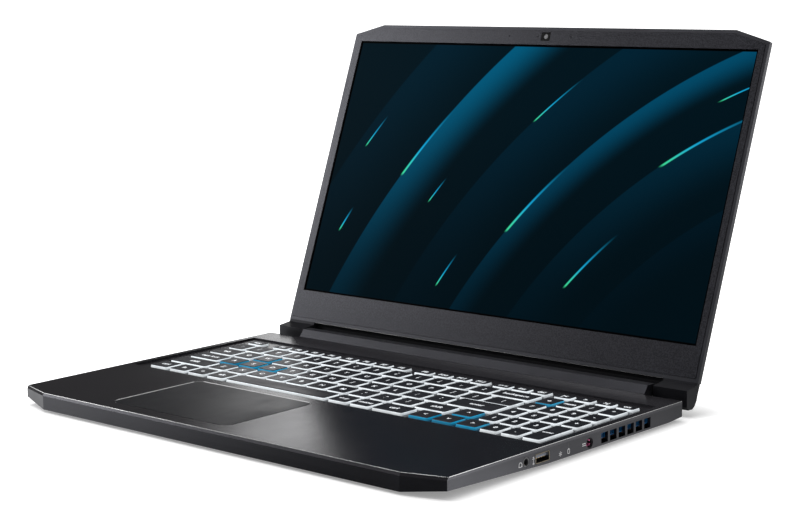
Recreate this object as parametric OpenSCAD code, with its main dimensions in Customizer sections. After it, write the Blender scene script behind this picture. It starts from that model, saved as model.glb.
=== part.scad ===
// Open laptop computer: a full-width base with a raised rear cover, and a lid on two barrel hinges.
// Millimetres, +Z up, +X to the user's right, -Y towards the user.
// The origin is on the desk, under the middle of the box that the open laptop fills.

/* [Base] */
// Width of the base
body_w = 363.4; // [350:0.1:380]
// Depth of the full-width part of the base
body_d = 235.5; // [230:0.5:245]
// Height of the deck above the desk
deck_h = 13; // [12.6:0.1:15]
// Height of the rubber feet
foot_h = 2; // [1.5:0.1:2.2]
// Width of each cut front corner
corner_w = 27; // [15:1:35]
// Depth of each cut front corner
corner_d = 8.2; // [4:0.1:12]
// How much higher the lower edge lies at the front corners
corner_lift = 3.3; // [1:0.1:3.6]
// Distance from the front over which that lower edge comes down
lift_run = 98; // [70:1:120]
// Height of the bevel along the front edge
bevel_h = 1.9; // [1.6:0.1:2.1]
// Depth of the bevel along the front edge
bevel_d = 1; // [0.4:0.1:1.6]
// Thickness of the side walls
wall = 2; // [1.6:0.1:2.2]
// Thickness of the bottom cover's floor
floor_t = 1.2; // [1:0.1:1.3]
// Thickness of the deck
deck_t = 1.5; // [1.2:0.1:1.6]

// Rise of the underside towards the rear edge
tail_rise = 1; // [0.6:0.1:1]

/* [Rear cover] */
// Width of the raised rear cover between the hinges
rear_w = 305; // [300:0.5:306]
// Depth of the raised rear cover
rear_d = 18.5; // [17.5:0.1:19]
// Height of the rear cover's top above the desk
rear_h = 18; // [17:0.1:18.5]
// Thickness of the rear cover's shell
rear_t = 1.5; // [1.2:0.1:1.8]
// Width of one exhaust slot
exhaust_w = 4; // [3:0.1:4.6]
// Distance from one exhaust slot to the next
exhaust_pitch = 6; // [5.6:0.1:7]

/* [Hinge] */
// Distance of the hinge axis behind the full-width part of the base
axis_back = 11.1; // [10.8:0.1:11.4]
// Height of the hinge axis above the desk
axis_h = 9.9; // [9.8:0.1:10.1]
// Angle between the deck and the screen
open_angle = 110.84; // [100:0.1:125]
// Gap between the rear cover and a hinge cap
cap_gap = 2.2; // [1:0.1:2.6]
// Width of a hinge cap
cap_w = 25.4; // [24:0.2:26]
// Distance of a hinge cap's upright front from the hinge axis
cap_front = 3.3; // [3.2:0.1:3.8]
// Height of a hinge cap's front edge above the hinge axis
cap_high = 7.7; // [7.4:0.1:8]
// Distance of a hinge cap's underside from the hinge axis
cap_low = 5.2; // [5:0.1:5.6]
// Wall of a hinge cap
cap_wall = 1.2; // [1:0.1:1.2]
// Radius of the hinge shafts
shaft_r = 1.8; // [1.5:0.1:1.8]
// Radial clearance of a shaft in its bracket
shaft_gap = 0.05; // [0.02:0.01:0.09]
// Width of a hinge bracket's barrel
bracket_w = 16; // [12:1:18]

/* [Lid] */
// Width of the lid
lid_w = 361.2; // [356:0.1:363]
// Height of the lid from its lower to its upper edge
lid_h = 232.6; // [231:0.1:236]
// Distance of the lid's lower edge from the hinge axis
lid_start = 13; // [12.8:0.1:13.2]
// Thickness of the lid
lid_t = 6; // [5.8:0.1:6.4]
// Width of each cut upper corner of the lid
lid_corner_w = 26.4; // [15:0.1:32]
// Height of each cut upper corner of the lid
lid_corner_h = 7.5; // [4:0.1:9]
// Distance of the lid's rear lip from the hinge axis
lid_lip = 6; // [6:0.1:9]
// Height of the lid's straight side
lid_side = 3.4; // [3:0.1:3.8]
// Width of the slope between the lid's side and its back
lid_slope = 10; // [6:0.5:14]
// Thickness of the lid cover's back
lid_wall = 1.1; // [0.9:0.1:1.2]
// Width of the cover's rim round the bezel
rim_w = 2.4; // [2:0.1:2.6]
// Thickness of the bezel
bezel_t = 1; // [0.8:0.1:1.1]
// Gap between the rim and the bezel
bezel_gap = 0.2; // [0.1:0.05:0.3]
// Width of the picture
screen_w = 344.2; // [340:0.1:346]
// Height of the picture
screen_h = 193.6; // [190:0.1:195]
// Distance of the picture's lower edge from the hinge axis
screen_rise = 37.6; // [36.5:0.1:38]
// Distance of the screen behind the hinge axis
screen_set = 4.9; // [4.8:0.1:5]
// Width of the black border between the picture and the bezel
screen_border = 1.4; // [0.8:0.1:1.8]
// Thickness of the display panel
panel_t = 2.6; // [2.2:0.1:2.8]
// Width of the camera window
camera_w = 7.6; // [6:0.1:8]
// Height of the camera window
camera_h = 6.2; // [5:0.1:6.4]

/* [Keyboard] */
// Distance from one letter key to the next
key_pitch = 18.75; // [18.5:0.05:18.8]
// Distance from one row of keys to the next
row_pitch = 18.6; // [18:0.05:18.7]
// Gap between neighbouring keycaps
key_gap = 2.9; // [2.4:0.1:3.2]
// Left edge of the keys, left of the middle of the base
key_left = 165.6; // [164:0.1:168]
// Distance of the first row's front edge from the front of the base
key_front = 101.6; // [101:0.1:104]
// Left edge of the number pad, right of the middle of the base
pad_keys_x = 111.5; // [111:0.1:112]
// Distance from one number-pad column to the next
pad_pitch = 15.9; // [15.6:0.05:16]
// Left edge of the arrow keys, right of the middle of the base
arrow_x = 71.3; // [71:0.1:71.6]
// Distance from one function key to the next
function_pitch = 16.1; // [15.7:0.05:16.2]
// Depth of a function key
function_d = 9; // [8:0.1:10]
// Height of a keycap
cap_h = 2.3; // [2.1:0.1:2.4]
// Height of a keycap's top above the deck
key_rise = 0.5; // [0.3:0.05:0.5]
// How far a key goes down
key_travel = 1.6; // [1.2:0.1:1.6]
// Gap round a keycap in its window
window_gap = 0.3; // [0.2:0.05:0.4]
// Width of the deck beside the keyboard's recess
recess_edge = 4.7; // [4:0.1:6]
// Depth of the recess below the deck
recess_deep = 1.3; // [1.1:0.1:1.4]
// Thickness of the recess floor
recess_t = 0.8; // [0.6:0.1:0.9]
// Thickness of the steel plate under the keys
plate_t = 0.7; // [0.5:0.1:0.8]
// Radius of the rubber dome under a key
dome_r = 2.4; // [2:0.1:3]

/* [Touchpad] */
// Width of the touchpad
touch_w = 105; // [95:0.5:107]
// Depth of the touchpad
touch_d = 74.5; // [65:0.5:76]
// Middle of the touchpad, left of the middle of the base
touch_left = 48.1; // [40:0.1:52]
// Front edge of the touchpad, from the front of the base
touch_front = 13.5; // [11:0.1:15]
// Thickness of the touchpad
touch_t = 1.6; // [1.2:0.1:1.8]
// Gap round the touchpad
touch_gap = 0.35; // [0.3:0.05:0.5]
// Width of the polished chamfer round the touchpad
touch_chamfer = 0.8; // [0.4:0.1:1.2]

/* [Ports and vents] */
// Middle of the headset socket, from the front of the base
audio_y = 77.2; // [74:0.1:79]
// Height of the headset socket's middle above the desk
audio_z = 7; // [6.6:0.1:7.2]
// Radius of the headset socket's bore
audio_r = 1.8; // [1.76:0.01:1.9]
// Middle of the right-hand data socket, from the front of the base
data_y = 92.4; // [91:0.1:92.6]
// Height of the data sockets' middle above the desk
data_z = 6.7; // [6.4:0.1:6.8]
// Width of a data socket's mouth
data_w = 12.5; // [12.4:0.1:12.8]
// Height of a data socket's mouth
data_h = 5.1; // [4.9:0.1:5.2]
// Middle of the first status light, from the front of the base
light_y = 109.3; // [106:0.1:112]
// Middle of the power socket, from the front of the base
power_y = 137.8; // [134:0.1:141]
// Height of the power socket's middle above the desk
power_z = 5.9; // [5.8:0.1:6]
// Radius of the power socket's bore
power_r = 2.75; // [2.6:0.05:2.8]
// Middle of the first side vent, from the front of the base
vent_y = 152.8; // [151:0.1:155]
// Width of a side vent
vent_w = 6.8; // [5:0.1:7.4]
// Height of a side vent
vent_h = 6.3; // [5:0.1:6.4]
// Distance from one side vent to the next
vent_pitch = 8.9; // [8.6:0.05:9.1]
// Number of side vents on each side
vent_count = 6; // [4:1:6]

/* [Inside] */
// Width of the battery
battery_w = 182; // [150:1:190]
// Depth of the battery
battery_d = 72; // [60:1:74]
// Width of the mainboard
board_w = 172; // [160:1:176]
// Thickness of the circuit boards
board_t = 1; // [0.8:0.1:1.1]
// Outer size of a fan housing
fan_w = 72; // [64:1:74]
// Radius of a fan's impeller
impeller_r = 30; // [24:0.5:31]
// Number of blades of an impeller
blade_count = 27; // [15:1:37]
// Radius of a fan's shaft
fan_shaft_r = 1.5; // [1.2:0.1:1.8]
// Length of a side cooling fin
side_fin_l = 6.7; // [6:0.1:6.8]
// Distance from one cooling fin to the next
fin_pitch = 2.4; // [2:0.1:3]
// Radius of a case screw's shank
screw_r = 1; // [0.8:0.05:1.2]
// Gap between a moving piece and what it passes
clearance = 0.3; // [0.25:0.05:0.4]

/* [Hidden] */
$fn = 48;
eps = 0.01;
far = 400;

half_w = body_w / 2;
recess_w = body_w - 2 * recess_edge;
seam_z = deck_h - bevel_h;
floor_z = foot_h + floor_t;
axis_y = body_d + axis_back;
rear_y = body_d + rear_d;
lid_tilt = 180 - open_angle;
lid_front = bezel_t - screen_set;
lid_back = lid_front - lid_t;
lid_top = lid_start + lid_h;
rim_front = lid_front - clearance;
side_back = rim_front - lid_side;
lid_floor = lid_back + lid_wall;
lid_reach = axis_y + lid_top * cos(lid_tilt) - side_back * sin(lid_tilt);
slope_reach = axis_y + (lid_top - lid_slope) * cos(lid_tilt) - lid_back * sin(lid_tilt);
middle_y = max(lid_reach, slope_reach) / 2;

key_top = deck_h + key_rise;
cap_d = row_pitch - key_gap;
function_gap = 0.6;
function_y = key_front + 5 * row_pitch + function_gap;
recess_front = key_front - 5;
recess_back = function_y + function_d + 9.3;
recess_z = deck_h - recess_deep;
membrane_z = key_top - cap_h - key_travel - clearance * 2 - 0.4;
cap_wall_t = 1.2;
dome_top = key_top - cap_wall_t - key_travel - clearance;
board_z = membrane_z - plate_t - board_t - clearance;
keys_right = pad_keys_x + 4 * pad_pitch - key_gap;
plate_right = keys_right + 0.4;
plate_left = -key_left - 1.4;
vent_z = 3.2;
cap_in = rear_w / 2 + cap_gap;
cap_out = cap_in + cap_w;
camera_v = screen_rise + screen_h + 7.5;

// Widths of the keys of each row, in key pitches, from the left
bottom_units = [1.04, 1, 1, 1, 5, 1, 1, 1.5];
lower_units = concat([2.04], ones(10), [1.5]);
home_units = concat([1.6], ones(11), [2.08]);
upper_units = concat([1.34], ones(12), [1.34]);
number_units = concat([0.9], ones(12), [1.78]);
// Left edges of the four groups of function keys
function_groups = [-140.2, -74.6, -5.2, 62];
escape_w = 14.5;
joined_gap = 0.6;

function ones(n) = [for (i = [1:n]) 1];
function sum_to(v, n) = n <= 0 ? 0 : v[n - 1] + sum_to(v, n - 1);
function row_y(row) = key_front + row_pitch * row;
// A key is [left edge, front edge, width, depth]
function row_keys(units, row) = [for (i = [0:len(units) - 1])
    [key_pitch * sum_to(units, i) - key_left, row_y(row), key_pitch * units[i] - key_gap, cap_d]];
function pad_key(column, row) =
    [pad_keys_x + pad_pitch * column, row_y(row), pad_pitch - key_gap, cap_d];
function function_key(x) = [x, function_y, function_pitch - key_gap, function_d];
function arrow_key(column, row) =
    [arrow_x + key_pitch * column, row_y(row), key_pitch - key_gap, cap_d];
function is_in(i, list) = len([for (v = list) if (v == i) v]) > 0;
function without(list, drop) = [for (i = [0:len(list) - 1]) if (!is_in(i, drop)) list[i]];
function pick(list, i) = [list[i]];

bottom_keys = row_keys(bottom_units, 0);
lower_keys = row_keys(lower_units, 1);
home_keys = row_keys(home_units, 2);
upper_keys = row_keys(upper_units, 3);
number_keys = row_keys(number_units, 4);
enter_key = home_keys[12] + [0, 0, 0, key_gap - joined_gap];
f_keys = [for (g = [0:2], i = [0:3]) function_key(function_groups[g] + function_pitch * i)];
print_keys = [for (i = [0:2]) function_key(function_groups[3] + (function_pitch - 0.6) * i)];
media_keys = [for (i = [0:3])
    [pad_keys_x + pad_pitch * i, function_y, pad_pitch - key_gap, function_d]];
escape_key = [-key_left, function_y, escape_w, function_d];
pad_keys = concat([for (c = [1:3]) pad_key(c, 4)], [for (r = [3:-1:2], c = [0:3]) pad_key(c, r)],
    [for (c = [0:2]) pad_key(c, 1)], [pad_key(1, 0), pad_key(2, 0)]);
tall_key = pad_key(3, 0) + [0, 0, 0, row_pitch];
arrow_keys = [arrow_key(1, 1), arrow_key(0, 0), arrow_key(1, 0), arrow_key(2, 0)];
launch_key = pad_key(0, 4);
all_keys = concat(bottom_keys, lower_keys, without(home_keys, [12]), [enter_key], upper_keys,
    number_keys, f_keys, print_keys, media_keys, [escape_key], pad_keys, [tall_key], arrow_keys,
    [launch_key]);

touch_x = -touch_left;
touch_y = touch_front + touch_d / 2;
touch_z = deck_h - 0.1;
screw_places = [for (x = [-165, -60, 60, 165]) [x, abs(x) > 100 ? 14 : 6],
    [-113, 94], [113, 94], [-172, 219], [-60, 222], [60, 222], [172, 219]];
boss_r = 2.7;
head_r = 2;
head_h = 0.9;

// Outline of the base, drawn in by inset all round
function plan(inset) = [
    [corner_w - half_w + inset * 0.2, inset], [half_w - corner_w - inset * 0.2, inset],
    [half_w - inset, corner_d + inset * 0.8], [half_w - inset, body_d - inset],
    [inset - half_w, body_d - inset], [inset - half_w, corner_d + inset * 0.8]];
// Outline of the lid, drawn in by inset all round
function lid_plan(inset) = let (w = lid_w / 2 - inset, k = inset * 0.8) [
    [-w, lid_start + inset], [w, lid_start + inset], [w, lid_top - lid_corner_h - k],
    [w - lid_corner_w + inset * 0.8, lid_top - inset],
    [lid_corner_w - w - inset * 0.8, lid_top - inset], [-w, lid_top - lid_corner_h - k]];
// Rectangle with round corners, its middle at the origin
function round_box(w, d, r) = [for (c = [0:3], k = [0:3])
    let (a = 90 * c + 30 * k, sx = (c == 0 || c == 3) ? 1 : -1, sy = c < 2 ? 1 : -1)
    [sx * (w / 2 - r) + r * cos(a), sy * (d / 2 - r) + r * sin(a)]];

module on_base() { translate([0, -middle_y, 0]) children(); }
module on_lid() {
    translate([0, axis_y - middle_y, axis_h]) rotate([lid_tilt, 0, 0]) children();
}
module box(low, high) { translate(low) cube(high - low); }
module prism(points, z0, z1) { translate([0, 0, z0]) linear_extrude(z1 - z0) polygon(points); }
module mirrored() {
    children();
    mirror([1, 0, 0]) children();
}
// A slab along X whose outline is given in Y and Z
module profile_x(points, x0, x1) {
    translate([x0, 0, 0]) rotate([90, 0, 90]) linear_extrude(x1 - x0) polygon(points);
}
module rod_x(r, x0, x1) { translate([x0, 0, 0]) rotate([0, 90, 0]) cylinder(r = r, h = x1 - x0); }
// Cuts the edge from a to b back by run, over height drop, below or above level z
module edge_cut(a, b, z, run, drop) {
    d = b - a;
    translate([a[0], a[1], z]) rotate([0, 0, atan2(d[1], d[0])])
        rotate([atan2(drop, run), 0, 0]) box([-20, -30, 0], [norm(d) + 20, 60, 40]);
}

// The rising underside at the front corners; up moves it for the inner face of the floor
module corner_lift_cut(up) {
    slope_y = corner_lift / (lift_run - corner_d);
    slope_x = (corner_lift + slope_y * corner_d) / corner_w;
    mirrored() translate([half_w - corner_w, 0, foot_h + up])
        rotate([-atan(slope_y), -atan(slope_x), 0]) box([0, -20, -30], [60, lift_run + 60, 0]);
}
// The underside rises a little towards the rear edge, and stays level under the rear cover
module tail_cut(up) {
    tail_run = 15;
    translate([0, body_d - tail_run, foot_h + up]) rotate([atan(tail_rise / tail_run), 0, 0])
        box([-far, 0, -20], [far, norm([tail_run, tail_rise]), 0]);
    box([-far, body_d - 1, -20], [far, far, foot_h + up + tail_rise]);
}
module side_vents(x0, x1) {
    for (i = [0:vent_count - 1])
        translate([0, vent_y + vent_pitch * i, vent_z])
            box([x0, -vent_w / 2, 0], [x1, vent_w / 2, vent_h]);
}
module exhaust_slots(y0, y1, z0, z1) {
    count = floor(84 / exhaust_pitch);
    mirrored() for (i = [0:count - 1])
        box([36 + exhaust_pitch * i, y0, z0], [36 + exhaust_pitch * i + exhaust_w, y1, z1]);
}
left_data_y = [72, 92];
network_y = 122;
network_w = 12;
network_h = 6.8;
network_z = 3.5;
lock_y = 216;
video_x = -12;
slim_port_x = 6;
small_port_x = 21;
rear_port_z = 4.4;
module port_cuts() {
    box([half_w - 5, data_y - data_w / 2 - 0.4, data_z - data_h / 2 - 0.4],
        [far, data_y + data_w / 2 + 0.4, data_z + data_h / 2 + 0.4]);
    translate([0, audio_y, audio_z]) rod_x(audio_r + 1.2, half_w - 5, half_w + 5);
    translate([0, power_y, power_z]) rod_x(power_r + 0.5, half_w - 5, half_w + 5);
    for (i = [0:1]) translate([0, light_y + 7.9 * i, 8.9]) rod_x(0.6, half_w - 5, half_w + 5);
    side_vents(half_w - 5, far);
    side_vents(-far, 5 - half_w);
    for (y = left_data_y)
        box([-far, y - data_w / 2 - 0.4, data_z - data_h / 2 - 0.4],
            [5 - half_w, y + data_w / 2 + 0.4, data_z + data_h / 2 + 0.4]);
    box([-far, network_y - network_w / 2, network_z],
        [5 - half_w, network_y + network_w / 2, network_z + network_h]);
    box([-far, lock_y - 3.5, 4.4], [5 - half_w, lock_y + 3.5, 7.4]);
    box([video_x - 7.6, rear_y - 5, rear_port_z], [video_x + 7.6, far, rear_port_z + 5.4]);
    box([slim_port_x - 4.1, rear_y - 5, rear_port_z],
        [slim_port_x + 4.1, far, rear_port_z + 5.4]);
    box([small_port_x - 4.7, rear_y - 5, rear_port_z + 1], [small_port_x + 4.7, far, rear_port_z + 4.4]);
    exhaust_slots(rear_y - 5, far, rear_port_z, seam_z - 1.4);
}

module bottom_cover() {
    color([0.09, 0.09, 0.1]) on_base() difference() {
        union() {
            difference() {
                union() {
                    prism(plan(0), foot_h, seam_z);
                    box([-rear_w / 2, body_d - 1, foot_h], [rear_w / 2, rear_y, seam_z]);
                }
                difference() {
                    union() {
                        prism(plan(wall), floor_z, seam_z + 1);
                        box([-rear_w / 2 + wall, body_d - wall - 1, floor_z],
                            [rear_w / 2 - wall, rear_y - wall, seam_z + 1]);
                    }
                    corner_lift_cut(floor_t);
                    tail_cut(floor_t);
                }
            }
            for (p = screw_places) translate([p[0], p[1], foot_h]) cylinder(r = 3.4, h = 2.6);
        }
        corner_lift_cut(0);
        tail_cut(0);
        port_cuts();
        for (p = screw_places) translate([p[0], p[1], 0]) {
            cylinder(r = screw_r + 0.15, h = 10);
            cylinder(r = head_r + 0.2, h = foot_h + head_h + (abs(p[0]) > 150 ? 1.2 : 0));
        }
        mirrored() translate([0, axis_y, axis_h]) rod_x(shaft_r + 0.5, rear_w / 2 - 6, rear_w / 2 + 6);
        // air inlets under the fans
        for (side = [-1, 1], i = [-4:4]) translate([side * fan_x, fan_y + 6 * i, 0])
            box([-27 + abs(i) * 2, -1.3, foot_h - 1], [27 - abs(i) * 2, 1.3, foot_h + 2]);
        // speaker outlets
        for (side = [-1, 1], i = [0:5]) translate([side * 138, 24 + 4 * i, 0])
            box([-14, -0.9, foot_h - 1], [14, 0.9, foot_h + 4]);
    }
}

module top_case() {
    tray = 1.2;
    color([0.13, 0.13, 0.14]) on_base() difference() {
        union() {
            difference() {
                prism(plan(0), seam_z, deck_h);
                prism(plan(wall), seam_z - 1, deck_h - deck_t);
            }
            box([-recess_w / 2 - tray, recess_front - tray, recess_z - recess_t],
                [recess_w / 2 + tray, recess_back + tray, deck_h - eps]);
            for (p = screw_places)
                translate([p[0], p[1], foot_h + 2.6]) cylinder(r = boss_r, h = deck_h - deck_t - foot_h - 2);
        }
        box([-recess_w / 2, recess_front, recess_z], [recess_w / 2, recess_back, deck_h + 1]);
        for (k = all_keys)
            box([k[0] - window_gap, k[1] - window_gap, recess_z - 2],
                [k[0] + k[2] + window_gap, k[1] + k[3] + window_gap, recess_z + 1]);
        translate([touch_x, touch_y, 0])
            prism(round_box(touch_w + 2 * touch_gap, touch_d + 2 * touch_gap, 4), seam_z - 2, deck_h + 1);
        touch_chamfers();
        for (p = screw_places) translate([p[0], p[1], 0])
            cylinder(r = screw_r + 0.05, h = deck_h - deck_t - 1);
        edge_cut(plan(0)[0], plan(0)[1], deck_h - bevel_h, bevel_d, bevel_h);
        edge_cut(plan(0)[1], plan(0)[2], deck_h - bevel_h, bevel_d, bevel_h);
        edge_cut(plan(0)[5], plan(0)[0], deck_h - bevel_h, bevel_d, bevel_h);
    }
}
module touch_chamfers() {
    w = touch_w / 2 + touch_gap;
    d = touch_d / 2 + touch_gap;
    c = touch_chamfer;
    translate([touch_x, touch_y, deck_h]) {
        for (s = [-1, 1]) {
            translate([s * w, 0, 0]) rotate([0, 45, 0]) cube([c * 1.41, 2 * d - 8, c * 1.41], center = true);
            translate([0, s * d, 0]) rotate([45, 0, 0]) cube([2 * w - 8, c * 1.41, c * 1.41], center = true);
        }
    }
}

// The rear cover's outline: foot, front slope, top, slope down to the rear face
rear_outline = [[body_d, seam_z], [body_d, deck_h], [body_d + 1.5, deck_h + 0.1],
    [body_d + 5.3, rear_h], [body_d + 12, rear_h], [rear_y, 12.5], [rear_y, seam_z]];
rear_inner = [[body_d + rear_t, seam_z - 1], [body_d + rear_t, deck_h - 1.2],
    [body_d + 2.6, deck_h - 1.2], [body_d + 6.2, rear_h - rear_t], [body_d + 11.4, rear_h - rear_t],
    [rear_y - rear_t, 12.5 - rear_t * 0.5], [rear_y - rear_t, seam_z - 1]];
module rear_cover() {
    color([0.11, 0.11, 0.12]) on_base() difference() {
        profile_x(rear_outline, -rear_w / 2, rear_w / 2);
        profile_x(rear_inner, wall - rear_w / 2, rear_w / 2 - wall);
        exhaust_slots(rear_y - 6, rear_y + 2, 12.2, rear_h - 1.6);
        mirrored() translate([0, axis_y, axis_h]) rod_x(shaft_r + 0.5, rear_w / 2 - 6, rear_w / 2 + 6);
    }
}

rear_foot_y = body_d - 24;
module rubber_feet() {
    color([0.05, 0.05, 0.05]) on_base() {
        translate([0, rear_foot_y, 0]) prism(round_box(230, 9, 4), 0, foot_h);
        for (s = [-1, 1]) translate([s * 118, 15, 0]) prism(round_box(36, 8, 3.5), 0, foot_h);
    }
}

module case_screws() {
    color([0.2, 0.2, 0.21]) on_base() for (p = screw_places)
        translate([p[0], p[1], foot_h + (abs(p[0]) > 150 ? 1.2 : 0)]) difference() {
            union() {
                translate([0, 0, 0.1]) cylinder(r = head_r, h = head_h - 0.1);
                translate([0, 0, 0.2]) cylinder(r = screw_r, h = 6);
            }
            box([-1, -0.25, -1], [1, 0.25, 0.5]);
            box([-0.25, -1, -1], [0.25, 1, 0.5]);
        }
}

module keyboard_plate() {
    color([0.55, 0.56, 0.58]) on_base() difference() {
        box([plate_left, key_front - 1.2, membrane_z - plate_t],
            [plate_right, recess_back - 2, membrane_z]);
        for (p = screw_places) translate([p[0], p[1], 0]) cylinder(r = boss_r + 0.4, h = 20);
    }
}
module key_domes() {
    color([0.85, 0.86, 0.88, 0.8]) on_base() {
        for (k = all_keys) translate([k[0] + k[2] / 2, k[1] + k[3] / 2, membrane_z])
            cylinder(r = dome_r, h = dome_top - membrane_z);
    }
}

module keycaps(keys) {
    color([0.12, 0.12, 0.13]) on_base() for (k = keys)
        translate([k[0] + k[2] / 2, k[1] + k[3] / 2, 0]) difference() {
            prism(round_box(k[2], k[3], 1), key_top - cap_h, key_top);
            box([1 - k[2] / 2, 1 - k[3] / 2, 0], [k[2] / 2 - 1, k[3] / 2 - 1, key_top - cap_wall_t]);
        }
}
module blue_keycaps(keys) { color([0.1, 0.5, 0.75]) keycaps(keys); }
module function_keys() { keycaps(f_keys); }
module system_keys() { keycaps(concat(print_keys, media_keys)); }
module number_row_keys() { keycaps(number_keys); }
module upper_row_keys() { keycaps(without(upper_keys, [2])); }
module home_row_keys() { keycaps(without(home_keys, [1, 2, 3, 12])); }
module lower_row_keys() { keycaps(lower_keys); }
module bottom_row_keys() { keycaps(without(bottom_keys, [4])); }
module number_pad_keys() { keycaps(pad_keys); }
module number_pad_enter() { keycaps([tall_key]); }
module key_escape() { keycaps([escape_key]); }
module key_enter() { keycaps([enter_key]); }
module key_space() { keycaps(pick(bottom_keys, 4)); }
module key_w() { blue_keycaps(pick(upper_keys, 2)); }
module key_a() { blue_keycaps(pick(home_keys, 1)); }
module key_s() { blue_keycaps(pick(home_keys, 2)); }
module key_d() { blue_keycaps(pick(home_keys, 3)); }
module key_up() { blue_keycaps(pick(arrow_keys, 0)); }
module key_left_arrow() { blue_keycaps(pick(arrow_keys, 1)); }
module key_down() { blue_keycaps(pick(arrow_keys, 2)); }
module key_right_arrow() { blue_keycaps(pick(arrow_keys, 3)); }
module key_launch() { blue_keycaps([launch_key]); }

touch_hinge_y = touch_front + touch_d - 3;
touch_hinge_z = touch_z - touch_t - 1.1;
bracket_z = touch_hinge_z - 1.9;
bracket_t = 0.8;
click_gap = 0.75;
touch_pin_r = 0.8;
module touchpad() {
    color([0.14, 0.14, 0.15]) on_base() difference() {
        union() {
            translate([touch_x, touch_y, 0])
                prism(round_box(touch_w, touch_d, 4), touch_z - touch_t, touch_z);
            // the lugs that turn on the bracket's pins
            for (s = [-1, 1]) translate([touch_x + s * 38, touch_hinge_y, touch_hinge_z])
                box([-4, -1.9, -1.5], [4, 1.9, 1.2]);
        }
        for (s = [-1, 1]) translate([touch_x + s * 38, touch_hinge_y, touch_hinge_z])
            rod_x(touch_pin_r + shaft_gap, -6, 6);
    }
}
module touchpad_bracket() {
    low = bracket_z;
    color([0.6, 0.61, 0.63]) on_base() {
        difference() {
            translate([touch_x, touch_y, 0])
                prism(round_box(touch_w + 12, touch_d + 8, 4), low - bracket_t, low);
            translate([touch_x, touch_y, 0])
                prism(round_box(touch_w - 20, touch_d - 34, 4), low - 2, low + 1);
        }
        // pins and their posts
        for (s = [-1, 1]) translate([touch_x + s * 38, touch_hinge_y, 0]) {
            translate([0, 0, touch_hinge_z]) rod_x(touch_pin_r, -7, 7);
            for (t = [-1, 1])
                box([t * 6 - 1.2, -1.4, low - 0.1], [t * 6 + 1.2, 1.4, touch_hinge_z + touch_pin_r]);
        }
        // the click switch under the front edge
        translate([touch_x, touch_front + 6, 0]) {
            box([-3, -3, low - 0.1], [3, 3, low + 1.4]);
            translate([0, 0, low]) cylinder(r = 1, h = touch_z - touch_t - click_gap - low);
        }
        // feet that hang the bracket from the deck
        for (s = [-1, 1], t = [-1, 1]) translate([touch_x + s * (touch_w / 2 + 4), touch_y + t * 30, 0])
            box([-1.6, -3, low - 0.1], [1.6, 3, deck_h - deck_t]);
    }
}

module mainboard() {
    color([0.05, 0.16, 0.12]) on_base() difference() {
        union() {
            box([-board_w / 2, 101, board_z], [board_w / 2, 222, board_z + board_t]);
            box([-32, 221, board_z], [32, rear_y - wall - 12, board_z + board_t]);
        }
        for (p = screw_places) translate([p[0], p[1], 0]) cylinder(r = boss_r + 0.4, h = 20);
        translate([50, 100, 0]) box([0, 0, 0], [40, 14, 20]);
    }
}
module socket_board() {
    color([0.05, 0.16, 0.12]) on_base() {
        box([half_w - 30, audio_y - 11, data_z + data_h / 2 + 0.5],
            [half_w - wall - 1.4, key_front - 1.6, data_z + data_h / 2 + 0.5 + board_t]);
    }
}
chip_z = board_z - 1;
pipe_t = 1;
pipe_z = chip_z - pipe_t - 0.2;
module processor() {
    color([0.3, 0.32, 0.34]) on_base() box([-56, 158, chip_z], [-32, 182, board_z]);
}
module graphics_chip() {
    color([0.28, 0.3, 0.32]) on_base() box([20, 152, chip_z], [50, 182, board_z]);
}
function unit(v) = v / norm(v);
function turned(v) = [-v[1], v[0]];
// One side of a band through the points, mitred at its bends
function path_side(points, half) = let (last = len(points) - 1) [for (i = [0:last])
    let (back = unit(i > 0 ? points[i] - points[i - 1] : points[1] - points[0]),
        ahead = i < last ? unit(points[i + 1] - points[i]) : back,
        across = unit(turned(back + ahead)))
    points[i] + across * half / (across * turned(back))];
module flat_pipe(points, w) {
    low_side = path_side(points, -w / 2);
    prism(concat(path_side(points, w / 2), [for (i = [len(points) - 1:-1:0]) low_side[i]]),
        pipe_z, pipe_z + pipe_t);
}
module heat_pipes() {
    // cold plates under the two chips
    color([0.72, 0.45, 0.3]) on_base() {
        box([-60, 154, pipe_z - 0.2], [-28, 186, chip_z]);
        box([16, 148, pipe_z - 0.2], [54, 186, chip_z]);
        flat_pipe([[-44, 162], [0, 156], [36, 160]], 7);
        flat_pipe([[-50, 172], [-74, 205], [-84, 243], [-114, 243]], 7);
        flat_pipe([[42, 172], [72, 205], [84, 243], [114, 243]], 7);
        flat_pipe([[-50, 164], [-86, 136], [-150, 132], [-165, 136], [-170.5, 148.7], [-176, 158],
            [-176, 199]], 5);
        flat_pipe([[44, 158], [86, 136], [150, 132], [165, 136], [170.5, 148.7], [176, 158], [176, 199]], 5);
    }
}

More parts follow.
